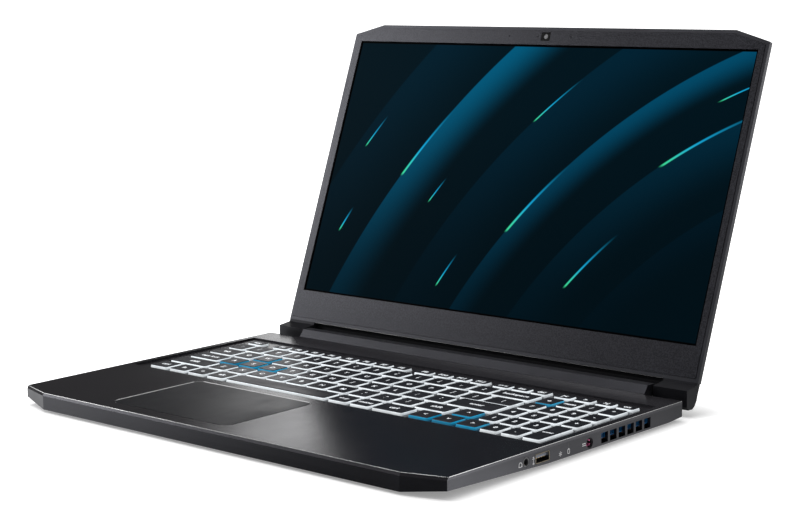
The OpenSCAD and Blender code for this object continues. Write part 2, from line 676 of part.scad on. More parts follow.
fan_x = 128;
fan_y = 182;
fan_low = floor_z + 0.2;
fan_high = board_z + board_t + 0.2;
blade_low = fan_low + 1.1;
blade_high = fan_high - 1.1;
module fan_housings() {
    color([0.07, 0.07, 0.08]) on_base() for (s = [-1, 1]) translate([s * fan_x, fan_y, 0]) {
        difference() {
            box([-fan_w / 2, -fan_w / 2, fan_low], [fan_w / 2, fan_w / 2, fan_high]);
            translate([0, 0, fan_low + 0.7]) cylinder(r = impeller_r + 2, h = fan_high - fan_low - 1.4);
            translate([0, 0, fan_high - 2]) cylinder(r = impeller_r - 7, h = 4);
            difference() {
                translate([0, 0, fan_low - 1]) cylinder(r = impeller_r - 7, h = 4);
                translate([0, 0, fan_low - 2]) cylinder(r = 7, h = 9);
                for (a = [30, 150, 270]) rotate([0, 0, a]) box([0, -1.5, fan_low - 2], [40, 1.5, 20]);
            }
            box([0, 8, fan_low + 0.7], [fan_w / 2 - 1, fan_w, fan_high - 0.7]);
        }
        translate([0, 0, fan_low + 0.5]) cylinder(r = fan_shaft_r, h = blade_high - fan_low - 1.2);
    }
}
module fan_rotor(side) {
    hub_r = 8;
    color([0.1, 0.1, 0.11]) on_base() translate([side * fan_x, fan_y, 0]) difference() {
        union() {
            translate([0, 0, blade_low]) cylinder(r = hub_r, h = blade_high - blade_low);
            for (i = [0:blade_count - 1]) rotate([0, 0, i * 360 / blade_count]) translate([hub_r - 1, 0, 0])
                rotate([0, 0, side * 20])
                    box([0, -0.3, blade_low], [impeller_r - hub_r - 1, 0.3, blade_high]);
        }
        translate([0, 0, blade_low - 1])
            cylinder(r = fan_shaft_r + shaft_gap, h = blade_high - blade_low + 0.6);
    }
}
module fan_rotor_left() { fan_rotor(-1); }
module fan_rotor_right() { fan_rotor(1); }

side_fin_x = half_w - wall - 0.2 - side_fin_l;
module side_fins() {
    count = floor(vent_count * vent_pitch / fin_pitch);
    y0 = vent_y - vent_w / 2 - 1;
    high = recess_z - recess_t - 0.3;
    low = pipe_z + pipe_t + 0.1;
    color([0.12, 0.3, 0.45]) on_base() mirrored() {
        for (i = [0:count]) translate([0, y0 + fin_pitch * i, 0])
            box([side_fin_x, 0, low - eps], [half_w - wall - 0.2, 0.4, high]);
        box([side_fin_x, y0, low], [half_w - wall - 0.2, y0 + fin_pitch * count + 0.4, low + 0.4]);
        box([side_fin_x, y0, high - 0.4], [half_w - wall - 0.2, y0 + fin_pitch * count + 0.4, high]);
    }
}
module rear_fins() {
    count = floor(84 / fin_pitch);
    y0 = body_d + 2.2;
    y1 = rear_y - wall - 0.3;
    low = pipe_z + pipe_t + 0.1;
    color([0.12, 0.3, 0.45]) on_base() mirrored() {
        for (i = [0:count]) translate([36 + fin_pitch * i, 0, 0])
            box([0, y0, low - eps], [0.4, y1, seam_z - 0.6]);
        box([36, y0, low], [36 + fin_pitch * count + 0.4, y1, low + 0.4]);
        box([36, y0, seam_z - 1], [36 + fin_pitch * count + 0.4, y1, seam_z - 0.6]);
    }
}

module battery() {
    top = bracket_z - bracket_t - clearance;
    color([0.09, 0.09, 0.1]) on_base() translate([-8, touch_front + 6, 0]) difference() {
        box([-battery_w / 2, 0, floor_z], [battery_w / 2, battery_d, top]);
        for (i = [1:3]) translate([-battery_w / 2 + i * battery_w / 4, 0, 0])
            box([-0.5, 4, top - 0.8], [0.5, battery_d - 4, top + 1]);
    }
}
module storage_drive() {
    color([0.06, 0.2, 0.14]) on_base() box([-14, 108, board_z - 2], [66, 130, board_z]);
}
module memory_modules() {
    color([0.05, 0.18, 0.13]) on_base() {
        box([-24, 190, board_z - 1.4], [44, 204, board_z]);
        box([-24, 206, board_z - 1.4], [44, 220, board_z]);
    }
}
module wireless_card() {
    color([0.2, 0.3, 0.25]) on_base() box([-74, 108, board_z - 1.6], [-52, 138, board_z]);
}
module speakers() {
    color([0.08, 0.08, 0.09]) on_base() for (s = [-1, 1])
        translate([s * 138, 34, 0]) difference() {
            prism(round_box(38, 34, 3), floor_z + 1.6, deck_h - deck_t - 0.4);
            translate([0, 0, 0]) cylinder(r = 9, h = floor_z + 2.6);
        }
}

module audio_jack() {
    color([0.1, 0.1, 0.1]) on_base() translate([0, audio_y, audio_z]) difference() {
        union() {
            box([half_w - 14, -3.4, -3], [half_w - wall - 0.2, 3.4, data_z + data_h / 2 + 0.5 - audio_z]);
            rod_x(audio_r + 1.1, half_w - wall - 0.4, half_w - 0.3);
        }
        rod_x(audio_r, half_w - 13, half_w + 1);
    }
}
module power_jack() {
    reach = 8;
    color([0.1, 0.1, 0.1]) on_base() translate([0, power_y, power_z]) {
        difference() {
            union() {
                box([plate_right + 0.3, -4.4, floor_z - power_z], [half_w - wall - 0.2, 4.4, power_r + 0.6]);
                rod_x(power_r + 0.4, half_w - wall - 0.4, half_w - 0.5);
            }
            rod_x(power_r, half_w - reach, half_w + 1);
        }
        rod_x(0.85, half_w - reach - 0.1, half_w - 2.5);
    }
}
// A data socket whose mouth faces +X at x = 0
module data_socket() {
    long = 13;
    difference() {
        box([-long, -data_w / 2 - 0.3, -data_h / 2 - 0.3], [-0.5, data_w / 2 + 0.3, data_h / 2 + 0.3]);
        box([1 - long, -data_w / 2, -data_h / 2], [1, data_w / 2, data_h / 2]);
    }
    box([0.9 - long, -5.5, -0.1], [-1.8, 5.5, 1.7]);
}
module data_sockets() {
    color([0.65, 0.66, 0.68]) on_base() {
        translate([half_w, data_y, data_z]) data_socket();
        for (y = left_data_y) translate([-half_w, y, data_z]) rotate([0, 0, 180]) data_socket();
    }
}
module network_socket() {
    long = 14;
    color([0.08, 0.08, 0.09]) on_base() translate([-half_w, network_y, 0]) difference() {
        box([wall + 0.2, -network_w / 2 - 1.2, floor_z], [long, network_w / 2 + 1.2, network_z + network_h]);
        box([0, -network_w / 2 + 0.2, network_z + 0.4],
            [long - 1.2, network_w / 2 - 0.2, network_z + network_h - 0.6]);
        box([0, -3, floor_z - 1], [long - 4, 3, network_z + 1]);
    }
}
// A flat socket with a tongue, whose mouth faces +Y at y = 0
module flat_socket(w, h, tongue) {
    difference() {
        box([-w / 2 - 0.3, -11, -0.3], [w / 2 + 0.3, -0.6, h + 0.3]);
        box([-w / 2, -10, 0], [w / 2, 1, h]);
    }
    box([-tongue / 2, -10.1, h / 2 - 0.4], [tongue / 2, -1.6, h / 2 + 0.4]);
}
module rear_sockets() {
    color([0.6, 0.61, 0.63]) on_base() translate([0, rear_y, rear_port_z]) {
        translate([video_x, 0, 0.4]) flat_socket(14, 4.5, 11);
        translate([slim_port_x, 0, 0.4]) flat_socket(7.4, 4.5, 5);
        translate([small_port_x, 0, 1.4]) flat_socket(8.3, 2.5, 6.4);
    }
}
module status_lights() {
    color([0.7, 0.8, 0.9]) on_base() for (i = [0:1]) translate([0, light_y + 7.9 * i, 8.9])
        rod_x(0.55, half_w - wall - 3, half_w - 0.1);
}

bracket_x = rear_w / 2 - wall - 0.6 - bracket_w;
module hinge_bracket(side) {
    block = shaft_r + 1.9;
    low = floor_z + tail_rise;
    color([0.5, 0.51, 0.53]) on_base() mirror([side < 0 ? 1 : 0, 0, 0]) difference() {
        union() {
            translate([0, axis_y, axis_h]) rod_x(block, bracket_x, bracket_x + bracket_w);
            box([bracket_x, axis_y - block, low], [bracket_x + bracket_w, axis_y, axis_h]);
            box([bracket_x, body_d - 14, low], [bracket_x + bracket_w, axis_y, low + 1.2]);
        }
        translate([0, axis_y, axis_h]) rod_x(shaft_r + shaft_gap, bracket_x - 1, bracket_x + bracket_w + 1);
        translate([bracket_x + 8, body_d - 7, 0]) cylinder(r = 1.2, h = 20);
    }
}
module hinge_bracket_left() { hinge_bracket(-1); }
module hinge_bracket_right() { hinge_bracket(1); }

arm_x0 = cap_in + 5;
arm_x1 = cap_in + 16;
arm_plate = 1;
arm_top = screen_rise - 12;
// The face of a hinge arm where it passes the lid's rim
arm_front = rim_front - 0.8;
module hinge_arm(side) {
    web = [[-1.6, 0.4], [1.2, 1.2], [8.4, -3.6], [9.6, -4.6], [lid_start + 0.3, arm_front],
        [lid_start + 4, lid_floor + arm_plate], [arm_top, lid_floor + arm_plate],
        [arm_top, lid_floor], [lid_start + 3.4, lid_floor], [lid_start + 0.2, arm_front - 1],
        [2, -5.3], [-1.6, -1.6]];
    color([0.5, 0.51, 0.53]) on_lid() mirror([side < 0 ? 1 : 0, 0, 0]) union() {
        rod_x(shaft_r, bracket_x, arm_x1);
        profile_x(web, arm_x0, arm_x1);
        box([arm_x0 - 34, lid_start + 3.6, lid_floor], [arm_x1, arm_top, lid_floor + arm_plate]);
    }
}
module hinge_arm_left() { hinge_arm(-1); }
module hinge_arm_right() { hinge_arm(1); }

// A cap's upright outline round the axis [y, z], drawn for the lid as it stands open, less wall
function cap_outline(wall) = [[wall - cap_front, cap_high - wall], [wall - cap_front, -2.8],
    [wall * 0.6 - 1.6, wall - cap_low + 0.1], [3 - wall * 0.3, wall - cap_low],
    [5.5 - wall * 0.7, wall * 0.8 - 3.6], [7.7 - wall, wall * 0.4 - 0.4], [9.1 - wall, 3.5]];
// The same points across and up the lid
function turned_to_lid(p) = [p[0] * cos(lid_tilt) + p[1] * sin(lid_tilt),
    p[1] * cos(lid_tilt) - p[0] * sin(lid_tilt)];
module hinge_caps() {
    back = lid_back + 2.4;
    // stands clear of the deck's rear edge when the lid is shut
    slope_top = axis_back - clearance + 0.3;
    outside = concat([for (p = cap_outline(0)) turned_to_lid(p)],
        [[lid_start, back], [lid_start, lid_front], [slope_top, lid_front]]);
    inside = concat([for (p = cap_outline(cap_wall)) turned_to_lid(p)],
        [[lid_start + 1, back + 1], [lid_start + 1, lid_front - 0.6], [slope_top - 1, lid_front - 0.2]]);
    color([0.08, 0.08, 0.09]) on_lid() mirrored() difference() {
        profile_x(outside, cap_in, cap_out);
        profile_x(inside, cap_in + cap_wall, cap_out - cap_wall);
        rod_x(shaft_r + 0.5, cap_in - 1, cap_in + 3);
    }
}

module lid_cover() {
    color([0.1, 0.1, 0.11]) on_lid() difference() {
        prism(lid_plan(0), lid_back, rim_front);
        // slopes from the sides to the back
        for (i = [1:5]) rotate([0, 180, 0]) lid_edge_cut(i);
        difference() {
            prism(lid_plan(rim_w), lid_floor, rim_front + 1);
            for (i = [1:5]) rotate([0, 180, 0]) translate([0, 0, -lid_wall]) lid_edge_cut(i);
            // ledge that carries the bezel, and rails that carry the display
            difference() {
                prism(lid_plan(rim_w - 1), lid_floor - 1, lid_front - bezel_t);
                prism(lid_plan(rim_w + 1), lid_floor - 2, lid_front);
            }
            for (x = [-120, 0, 120]) box([x - 3, screen_rise + 4, lid_floor - 1],
                [x + 3, screen_rise + screen_h - 4, -screen_set - panel_t]);
        }
        // openings for the hinge arms
        mirrored() box([arm_x0 - 1, lid_start - 1, lid_floor],
            [arm_x1 + 1, lid_start + 5, arm_front + clearance]);
    }
    // lip at the back that closes the gap behind the rear cover
    color([0.1, 0.1, 0.11]) on_lid() box([clearance - cap_in, lid_lip, lid_back],
        [cap_in - clearance, lid_start + 0.5, axis_h - rear_h - clearance]);
}
// One sloping cut, drawn for the lid turned face down. The two corner slopes start a step nearer the screen.
slope_step = 0.1;
module lid_edge_cut(i) {
    edges = [for (p = lid_plan(0)) [-p[0], p[1]]];
    a = edges[(i + 1) % 6];
    b = edges[i];
    step = (i + 1) % 2 * slope_step;
    edge_cut(a, b, -side_back - step, lid_slope, side_back + step - lid_back);
}

camera_x = 0.9;
// Places across the lid of the two microphone holes and, between them, the camera's light
lid_holes = [-31.4, -6.1, 22.7];
module lid_bezel() {
    open_w = screen_w / 2 + screen_border;
    color([0.12, 0.12, 0.13]) on_lid() difference() {
        prism(lid_plan(rim_w + bezel_gap), lid_front - bezel_t, lid_front);
        box([-open_w, screen_rise - screen_border, lid_front - 5],
            [open_w, screen_rise + screen_h + screen_border, lid_front + 1]);
        translate([camera_x, camera_v, 0]) box([-camera_w / 2 - 0.1, -camera_h / 2 - 0.1, lid_front - 5],
            [camera_w / 2 + 0.1, camera_h / 2 + 0.1, lid_front + 1]);
        for (x = lid_holes) translate([x, camera_v, lid_front - 5]) cylinder(r = 0.5, h = 9);
    }
}

module display_panel() {
    color([0.02, 0.03, 0.05]) on_lid() box([-screen_w / 2 - 3, screen_rise - 9, -screen_set - panel_t],
        [screen_w / 2 + 3, screen_rise + screen_h + 2.6, -screen_set]);
}
module camera_module() {
    color([0.03, 0.03, 0.03]) on_lid() translate([camera_x, camera_v, 0]) {
        difference() {
            box([-camera_w / 2, -camera_h / 2, -screen_set - 1.2],
                [camera_w / 2, camera_h / 2, lid_front - 0.1]);
            translate([0, 0, lid_front - 0.6]) cylinder(r = 1.7, h = 2);
        }
        box([-34, -2.4, -screen_set - 2], [34, 2.4, -screen_set - 1.1]);
    }
}

bottom_cover();
top_case();
rear_cover();
rubber_feet();
case_screws();
keyboard_plate();
key_domes();
touchpad();
touchpad_bracket();
mainboard();
socket_board();
processor();
graphics_chip();
heat_pipes();
fan_housings();
fan_rotor_left();
fan_rotor_right();
side_fins();
rear_fins();
battery();
storage_drive();
memory_modules();
wireless_card();
speakers();
audio_jack();
power_jack();
data_sockets();
network_socket();
rear_sockets();
status_lights();
hinge_bracket_left();
hinge_bracket_right();
hinge_arm_left();
hinge_arm_right();
hinge_caps();
lid_cover();
lid_bezel();
display_panel();
camera_module();
function_keys();
system_keys();
number_row_keys();
upper_row_keys();
home_row_keys();
lower_row_keys();
bottom_row_keys();
number_pad_keys();
number_pad_enter();
key_escape();
key_enter();
key_space();
key_w();
key_a();
key_s();
key_d();
key_up();
key_left_arrow();
key_down();
key_right_arrow();
key_launch();
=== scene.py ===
import math

import bmesh
import bpy
from mathutils import Matrix, Vector


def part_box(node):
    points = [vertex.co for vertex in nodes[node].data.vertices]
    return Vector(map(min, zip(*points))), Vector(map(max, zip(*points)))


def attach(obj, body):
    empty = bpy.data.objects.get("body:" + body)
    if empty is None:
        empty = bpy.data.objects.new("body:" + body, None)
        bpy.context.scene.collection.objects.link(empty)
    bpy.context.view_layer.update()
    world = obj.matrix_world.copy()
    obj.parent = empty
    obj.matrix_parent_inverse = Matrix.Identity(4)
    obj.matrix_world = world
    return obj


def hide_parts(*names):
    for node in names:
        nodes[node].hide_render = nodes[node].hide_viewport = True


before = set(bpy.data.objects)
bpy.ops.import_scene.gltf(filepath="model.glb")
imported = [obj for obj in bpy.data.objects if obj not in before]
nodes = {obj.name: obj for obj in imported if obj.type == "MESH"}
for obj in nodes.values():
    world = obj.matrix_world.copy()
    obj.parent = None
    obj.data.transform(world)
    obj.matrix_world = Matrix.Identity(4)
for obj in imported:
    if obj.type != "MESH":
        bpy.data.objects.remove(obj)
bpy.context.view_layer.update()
bpy.context.scene.view_settings.view_transform = "Standard"
mm = 0.001

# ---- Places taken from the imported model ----
front_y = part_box("bottom_cover")[0].y
right_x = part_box("bottom_cover")[1].x
deck_z = 13 * mm
key_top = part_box("key_space")[1].z
cap_height = key_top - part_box("key_space")[0].z
hinge_y, hinge_z = front_y + 246.6 * mm, 9.9 * mm
# the lid's frame: the middle of the hinge axis, the way up the open lid, and the way out of its screen
lid_origin = Vector((0, hinge_y, hinge_z))
lid_up = Vector((0, 0.3557, 0.9346))
lid_out = Vector((0, -0.9346, 0.3557))


def base_point(x, y, z):
    """A point of the base in metres: x from its middle, y from its front edge, z from the desk, all in mm."""
    return Vector((x * mm, front_y + y * mm, z * mm))


def lid_point(x, v, w):
    """A point of the lid in metres: x across, v up and w out of the screen, from the hinge axis in mm."""
    return lid_origin + Vector((x * mm, 0, 0)) + lid_up * v * mm + lid_out * w * mm


# Turns a flat piece drawn in x and y so that it faces out of the lid, or out of the right side
lid_turn = Matrix((
    (1, 0, 0, 0),
    (0, lid_up.y, lid_out.y, 0),
    (0, lid_up.z, lid_out.z, 0),
    (0, 0, 0, 1),
))
side_turn = Matrix(((0, 0, 1, 0), (1, 0, 0, 0), (0, 1, 0, 0), (0, 0, 0, 1)))


# ---- Camera ----
view_turns = (42.65, 9.4, 1.03)  # azimuth from the front, elevation and roll, in degrees
view_from = (0.82187, -0.91993, 0.28837)
view_lens = 85.877
view_shift = (0.0447, 0.0176)


def place_camera():
    azimuth, elevation, roll = (math.radians(turn) for turn in view_turns)
    back = Vector((
        math.sin(azimuth) * math.cos(elevation),
        -math.cos(azimuth) * math.cos(elevation),
        math.sin(elevation),
    ))
    ahead = -back
    right = ahead.cross(Vector((0, 0, 1))).normalized()
    down = ahead.cross(right)
    across = right * math.cos(roll) + down * math.sin(roll)
    below = down * math.cos(roll) - right * math.sin(roll)
    lens = bpy.data.cameras.new("studio_camera")
    camera = bpy.data.objects.new("studio_camera", lens)
    bpy.context.scene.collection.objects.link(camera)
    turn = Matrix((across, -below, back)).transposed().to_4x4()
    camera.matrix_world = Matrix.Translation(view_from) @ turn
    lens.sensor_width = 36
    lens.lens = view_lens
    lens.shift_x, lens.shift_y = view_shift
    lens.clip_start = 0.01
    lens.clip_end = 60
    bpy.context.scene.camera = camera


place_camera()


# ---- Modelling by hand ----
def deselect():
    if bpy.context.object and bpy.context.object.mode != "OBJECT":
        bpy.ops.object.mode_set(mode="OBJECT")
    bpy.ops.object.select_all(action="DESELECT")


def make_active(piece):
    deselect()
    piece.select_set(True)
    bpy.context.view_layer.objects.active = piece


def new_block(name, size):
    """A block at the origin to shape, its size in metres."""
    deselect()
    bpy.ops.mesh.primitive_cube_add(size=1)
    block = bpy.context.active_object
    block.name = name
    block.scale = size
    bpy.ops.object.transform_apply(location=True, rotation=True, scale=True)
    bpy.ops.object.mode_set(mode="EDIT")
    return block


def new_disc(name, radius, sides):
    """A flat disc at the origin to shape."""
    deselect()
    bpy.ops.mesh.primitive_circle_add(vertices=sides, radius=radius, fill_type="NGON")
    disc = bpy.context.active_object
    disc.name = name
    bpy.ops.object.mode_set(mode="EDIT")
    return disc


def select_faces(piece, wanted):
    bpy.ops.mesh.select_mode(type="FACE")
    bpy.ops.mesh.select_all(action="DESELECT")
    shape = bmesh.from_edit_mesh(piece.data)
    for face in shape.faces:
        face.select_set(bool(wanted(face)))
    bmesh.update_edit_mesh(piece.data)


def select_edges(piece, wanted):
    bpy.ops.mesh.select_mode(type="EDGE")
    bpy.ops.mesh.select_all(action="DESELECT")
    shape = bmesh.from_edit_mesh(piece.data)
    for edge in shape.edges:
        edge.select_set(bool(wanted(edge)))
    bmesh.update_edit_mesh(piece.data)


flat_normal = 0.99  # a flat face's normal points at least this much up or down
steep_share = 0.6  # an upright edge rises at least this share of its length


def faces_up(face):
    return face.normal.z > flat_normal


def faces_down(face):
    return face.normal.z < -flat_normal


def stands_up(edge):
    return abs(edge.verts[0].co.z - edge.verts[1].co.z) > steep_share * edge.calc_length()


def finish_shape(piece, angle=30):
    """Ends the shaping of a piece: edges below the angle in degrees are shaded smooth."""
    bpy.ops.object.mode_set(mode="OBJECT")
    make_active(piece)
    bpy.ops.object.shade_smooth_by_angle(angle=math.radians(angle))


def put(piece, matrix):
    """Moves a finished piece's mesh, so that its object stays at the origin."""
    piece.data.transform(matrix)
    piece.data.update()


def copy_of(piece, name, matrix):
    """A copy with its own mesh, moved to its place."""
    twin = piece.copy()
    twin.data = piece.data.copy()
    twin.name = name
    bpy.context.scene.collection.objects.link(twin)
    put(twin, matrix)
    return twin


def joined(pieces, name):
    """Makes several pieces one."""
    deselect()
    for piece in pieces:
        piece.select_set(True)
    bpy.context.view_layer.objects.active = pieces[0]
    if len(pieces) > 1:
        bpy.ops.object.join()
    whole = bpy.context.view_layer.objects.active
    whole.name = name
    return whole


def remove(piece):
    mesh = piece.data
    bpy.data.objects.remove(piece)
    bpy.data.meshes.remove(mesh)


def fit_out(piece, body, slot, *finishes, stands_for=()):
    """Gives a finished piece its materials and body, and hides the nodes that it stands for. Its slot is not
    used.
    """
    if finishes:
        piece.data.materials.clear()
        for finish in finishes:
            piece.data.materials.append(finish)
    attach(piece, body)
    if stands_for:
        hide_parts(*stands_for)


ink_thick = 0.02 * mm
ink_spread = 0.025  # how much wider each stroke prints, as a share of the letter's height
line_pitch = 0.85


def print_mark(text, size):
    """Lettering as a thin mesh in x and y about the origin."""
    deselect()
    bpy.ops.object.text_add()
    mark = bpy.context.active_object
    mark.data.body = text
    mark.data.size = size
    mark.data.align_x = "CENTER"
    mark.data.align_y = "CENTER"
    mark.data.extrude = ink_thick
    mark.data.offset = ink_spread * size
    mark.data.resolution_u = 2
    mark.data.space_line = line_pitch
    bpy.ops.object.convert(target="MESH")
    return bpy.context.active_object


# ---- Nodes of the finishes ----
def add(tree, kind, settings=None, **inputs):
    """Adds a node. An input is a value, or a socket to link.

    Its key is the socket's name with underscores for spaces, or an underscore and the socket's number.
    """
    node = tree.nodes.new(kind)
    for key, value in (settings or {}).items():
        setattr(node, key, value)
    for key, value in inputs.items():
        socket = node.inputs[int(key[1:]) if key[0] == "_" else key.replace("_", " ")]
        if isinstance(value, bpy.types.NodeSocket):
            tree.links.new(value, socket)
        else:
            socket.default_value = value
    return node


def sum_of(tree, kind, a, b=0.0, c=None):
    """The result of one sum, c being what MULTIPLY_ADD adds."""
    inputs = {"_0": a, "_1": b}
    if c is not None:
        inputs["_2"] = c
    return add(tree, "ShaderNodeMath", {"operation": kind}, **inputs).outputs[0]


def product(tree, *factors):
    whole = factors[0]
    for factor in factors[1:]:
        whole = sum_of(tree, "MULTIPLY", whole, factor)
    return whole


def spread(tree, value, low, high, to_low=0.0, to_high=1.0, smooth=True):
    """Maps value from low..high to to_low..to_high."""
    settings = {"interpolation_type": "SMOOTHSTEP" if smooth else "LINEAR"}
    node = add(tree, "ShaderNodeMapRange", settings, Value=value)
    for key, number in zip(("From Min", "From Max", "To Min", "To Max"), (low, high, to_low, to_high)):
        node.inputs[key].default_value = number
    return node.outputs[0]


def blended(tree, factor, first, second):
    """One colour over another, by factor."""
    return add(tree, "ShaderNodeMix", {"data_type": "RGBA"}, _0=factor, _6=first, _7=second).outputs[2]


def noise(tree, place, scale, detail=2.0, rough=0.5):
    node = add(tree, "ShaderNodeTexNoise", None, Vector=place, Scale=scale, Detail=detail, Roughness=rough)
    return node.outputs[0]


def stretched(tree, place, scale):
    return add(tree, "ShaderNodeMapping", None, Vector=place, Scale=scale).outputs[0]


def grey(level):
    return (level, level, level, 1)


def new_group(name, inputs, outputs):
    group = bpy.data.node_groups.new(name, "ShaderNodeTree")
    for key, kind in inputs:
        group.interface.new_socket(key, in_out="INPUT", socket_type="NodeSocket" + kind)
    for key, kind in outputs:
        group.interface.new_socket(key, in_out="OUTPUT", socket_type="NodeSocket" + kind)
    return group, group.nodes.new("NodeGroupInput").outputs, group.nodes.new("NodeGroupOutput").inputs


def make_grain():
    """Fine moulded or blasted grain: a height, and a mask of its low places."""
    group, given, out = new_group(
        "fine_grain", [("Vector", "Vector"), ("Scale", "Float")], [("Height", "Float"), ("Hollows", "Float")]
    )
    small = noise(group, given["Vector"], given["Scale"], 3.0, 0.6)
    cells = add(group, "ShaderNodeTexVoronoi", None, Vector=given["Vector"], Scale=given["Scale"]).outputs[0]
    height = sum_of(group, "MULTIPLY_ADD", cells, 0.5, small)
    group.links.new(height, out["Height"])
    group.links.new(spread(group, height, 0.55, 0.95), out["Hollows"])
    return group


def make_handling():
    """Soft uneven patches that handling and dust leave: a colour, and a roughness."""
    group, given, out = new_group(
        "handling",
        [("Vector", "Vector"), ("Colour", "Color"), ("Dust", "Color"), ("Amount", "Float"),
         ("Roughness", "Float")],
        [("Colour", "Color"), ("Roughness", "Float")],
    )
    wide = noise(group, given["Vector"], 14.0, 4.0, 0.55)
    smear = noise(group, stretched(group, given["Vector"], (60, 18, 60)), 1.0, 3.0, 0.5)
    patches = spread(group, sum_of(group, "MULTIPLY_ADD", smear, 0.4, wide), 0.5, 0.95)
    amount = sum_of(group, "MULTIPLY", patches, given["Amount"])
    group.links.new(blended(group, amount, given["Colour"], given["Dust"]), out["Colour"])
    rougher = sum_of(group, "MULTIPLY_ADD", amount, 0.25, given["Roughness"])
    group.links.new(rougher, out["Roughness"])
    return group


def make_within():
    """A mask that is 1 inside a box."""
    group, given, out = new_group(
        "within_box", [("Vector", "Vector"), ("Low", "Vector"), ("High", "Vector")], [("Mask", "Float")]
    )
    sides = []
    for a, b in ((given["Vector"], given["Low"]), (given["High"], given["Vector"])):
        gap = add(group, "ShaderNodeVectorMath", {"operation": "SUBTRACT"}, _0=a, _1=b).outputs[0]
        split = add(group, "ShaderNodeSeparateXYZ", None, Vector=gap).outputs
        sides.append(sum_of(group, "MINIMUM", sum_of(group, "MINIMUM", split[0], split[1]), split[2]))
    inside = sum_of(group, "GREATER_THAN", sum_of(group, "MINIMUM", *sides), 0.0)
    group.links.new(inside, out["Mask"])
    return group


grain_group, handling_group, within_group = make_grain(), make_handling(), make_within()


def new_finish(name):
    """An empty material: itself, its tree, its shader and its Object coordinates."""
    finish = bpy.data.materials.new(name)
    finish.use_nodes = True
    tree = finish.node_tree
    shader = tree.nodes["Principled BSDF"]
    return finish, tree, shader, add(tree, "ShaderNodeTexCoord").outputs["Object"]


def link(tree, socket, shader, key):
    tree.links.new(socket, shader.inputs[key])


def bump(tree, shader, height, distance):
    """Gives the shader's normal a relief of a depth in metres."""
    node = add(tree, "ShaderNodeBump", None, Height=height, Distance=distance, Strength=1.0)
    link(tree, node.outputs[0], shader, "Normal")


def within(tree, place, low, high):
    """A mask that is 1 between two corners in metres."""
    node = add(tree, "ShaderNodeGroup", {"node_tree": within_group}, Vector=place)
    node.inputs["Low"].default_value = low
    node.inputs["High"].default_value = high
    return node.outputs[0]


sheen_tint = (0.87, 0.88, 1, 1)


def grained_finish(name, colour, dust, rough=0.45, scale=1800.0, depth=0.02 * mm, amount=0.35,
                   speckle=0.0, metallic=0.0, specular=0.5):
    """Satin metal or moulded plastic with a fine grain and traces of handling."""
    finish, tree, shader, place = new_finish(name)
    grain = add(tree, "ShaderNodeGroup", {"node_tree": grain_group}, Vector=place, Scale=scale).outputs
    used = add(tree, "ShaderNodeGroup", {"node_tree": handling_group}, Vector=place, Colour=colour, Dust=dust,
               Amount=amount, Roughness=rough).outputs
    shade = sum_of(tree, "MULTIPLY", grain["Hollows"], speckle)
    link(tree, blended(tree, shade, used["Colour"], dust), shader, "Base Color")
    link(tree, used["Roughness"], shader, "Roughness")
    shader.inputs["Metallic"].default_value = metallic
    shader.inputs["Specular IOR Level"].default_value = specular
    shader.inputs["Specular Tint"].default_value = sheen_tint
    bump(tree, shader, grain["Height"], depth)
    return finish, tree, shader, place


def metal_finish(name, colour, dark, rough=0.3, along=(40, 3000, 3000), metallic=1.0):
    """Machined metal with fine lines along one direction."""
    finish, tree, shader, place = new_finish(name)
    lines = noise(tree, stretched(tree, place, along), 1.0, 3.0, 0.6)
    link(tree, blended(tree, spread(tree, lines, 0.35, 0.7), dark, colour), shader, "Base Color")
    link(tree, spread(tree, lines, 0.3, 0.7, rough + 0.12, rough), shader, "Roughness")
    shader.inputs["Metallic"].default_value = metallic
    bump(tree, shader, lines, 0.004 * mm)
    return finish


def darker(colour, share):
    return tuple(part * share for part in colour[:3]) + (1,)


# how far down a key is dark, and where its lit skirt is dimmest
dark_band, skirt_depth = 0.3 * mm, 1.5 * mm


def glow_finish(name, colour, light, strength, low=1.0):
    """Clear plastic lit from inside, a little uneven, its light falling to the share low towards the deck."""
    finish, tree, shader, place = new_finish(name)
    cloud = noise(tree, place, 110.0, 2.0)
    lit = blended(tree, spread(tree, cloud, 0.35, 0.6), darker(light, 0.6), light)
    height = add(tree, "ShaderNodeSeparateXYZ", None, Vector=place).outputs[2]
    fade = spread(tree, height, key_top - skirt_depth, key_top - dark_band, 1.0 - low, 0.0)
    link(tree, blended(tree, fade, lit, grey(0.0)), shader, "Emission Color")
    link(tree, blended(tree, cloud, colour, darker(colour, 0.7)), shader, "Base Color")
    shader.inputs["Emission Strength"].default_value = strength
    shader.inputs["Roughness"].default_value = 0.35
    return finish


# ---- Finishes of the case ----
touch_left, touch_right, touch_front, touch_back = -100.6, 4.4, 13.5, 88.0
rim_reach = 1.5  # how far the polished edge reaches round the touchpad
rim_low = base_point(touch_left - rim_reach, touch_front - rim_reach, 9)
rim_high = base_point(touch_right + rim_reach, touch_back + rim_reach, 12.98)


def make_deck_finish():
    """Blasted dark metal, with a polished edge round the touchpad."""
    finish, tree, shader, place = grained_finish(
        "blasted_deck_metal", (0.0122, 0.0112, 0.0128, 1), (0.0205, 0.0192, 0.0222, 1), rough=0.23,
        scale=2600.0, depth=0.008 * mm, amount=0.15, speckle=0.35)
    rim = within(tree, place, rim_low, rim_high)
    colour = shader.inputs["Base Color"].links[0].from_socket
    rough = shader.inputs["Roughness"].links[0].from_socket
    link(tree, blended(tree, rim, colour, grey(0.85)), shader, "Base Color")
    link(tree, spread(tree, rim, 0, 1, 0, 0.3, False), shader, "Metallic")
    link(tree, product(tree, rough, spread(tree, rim, 0, 1, 1.0, 0.55, False)), shader, "Roughness")
    return finish


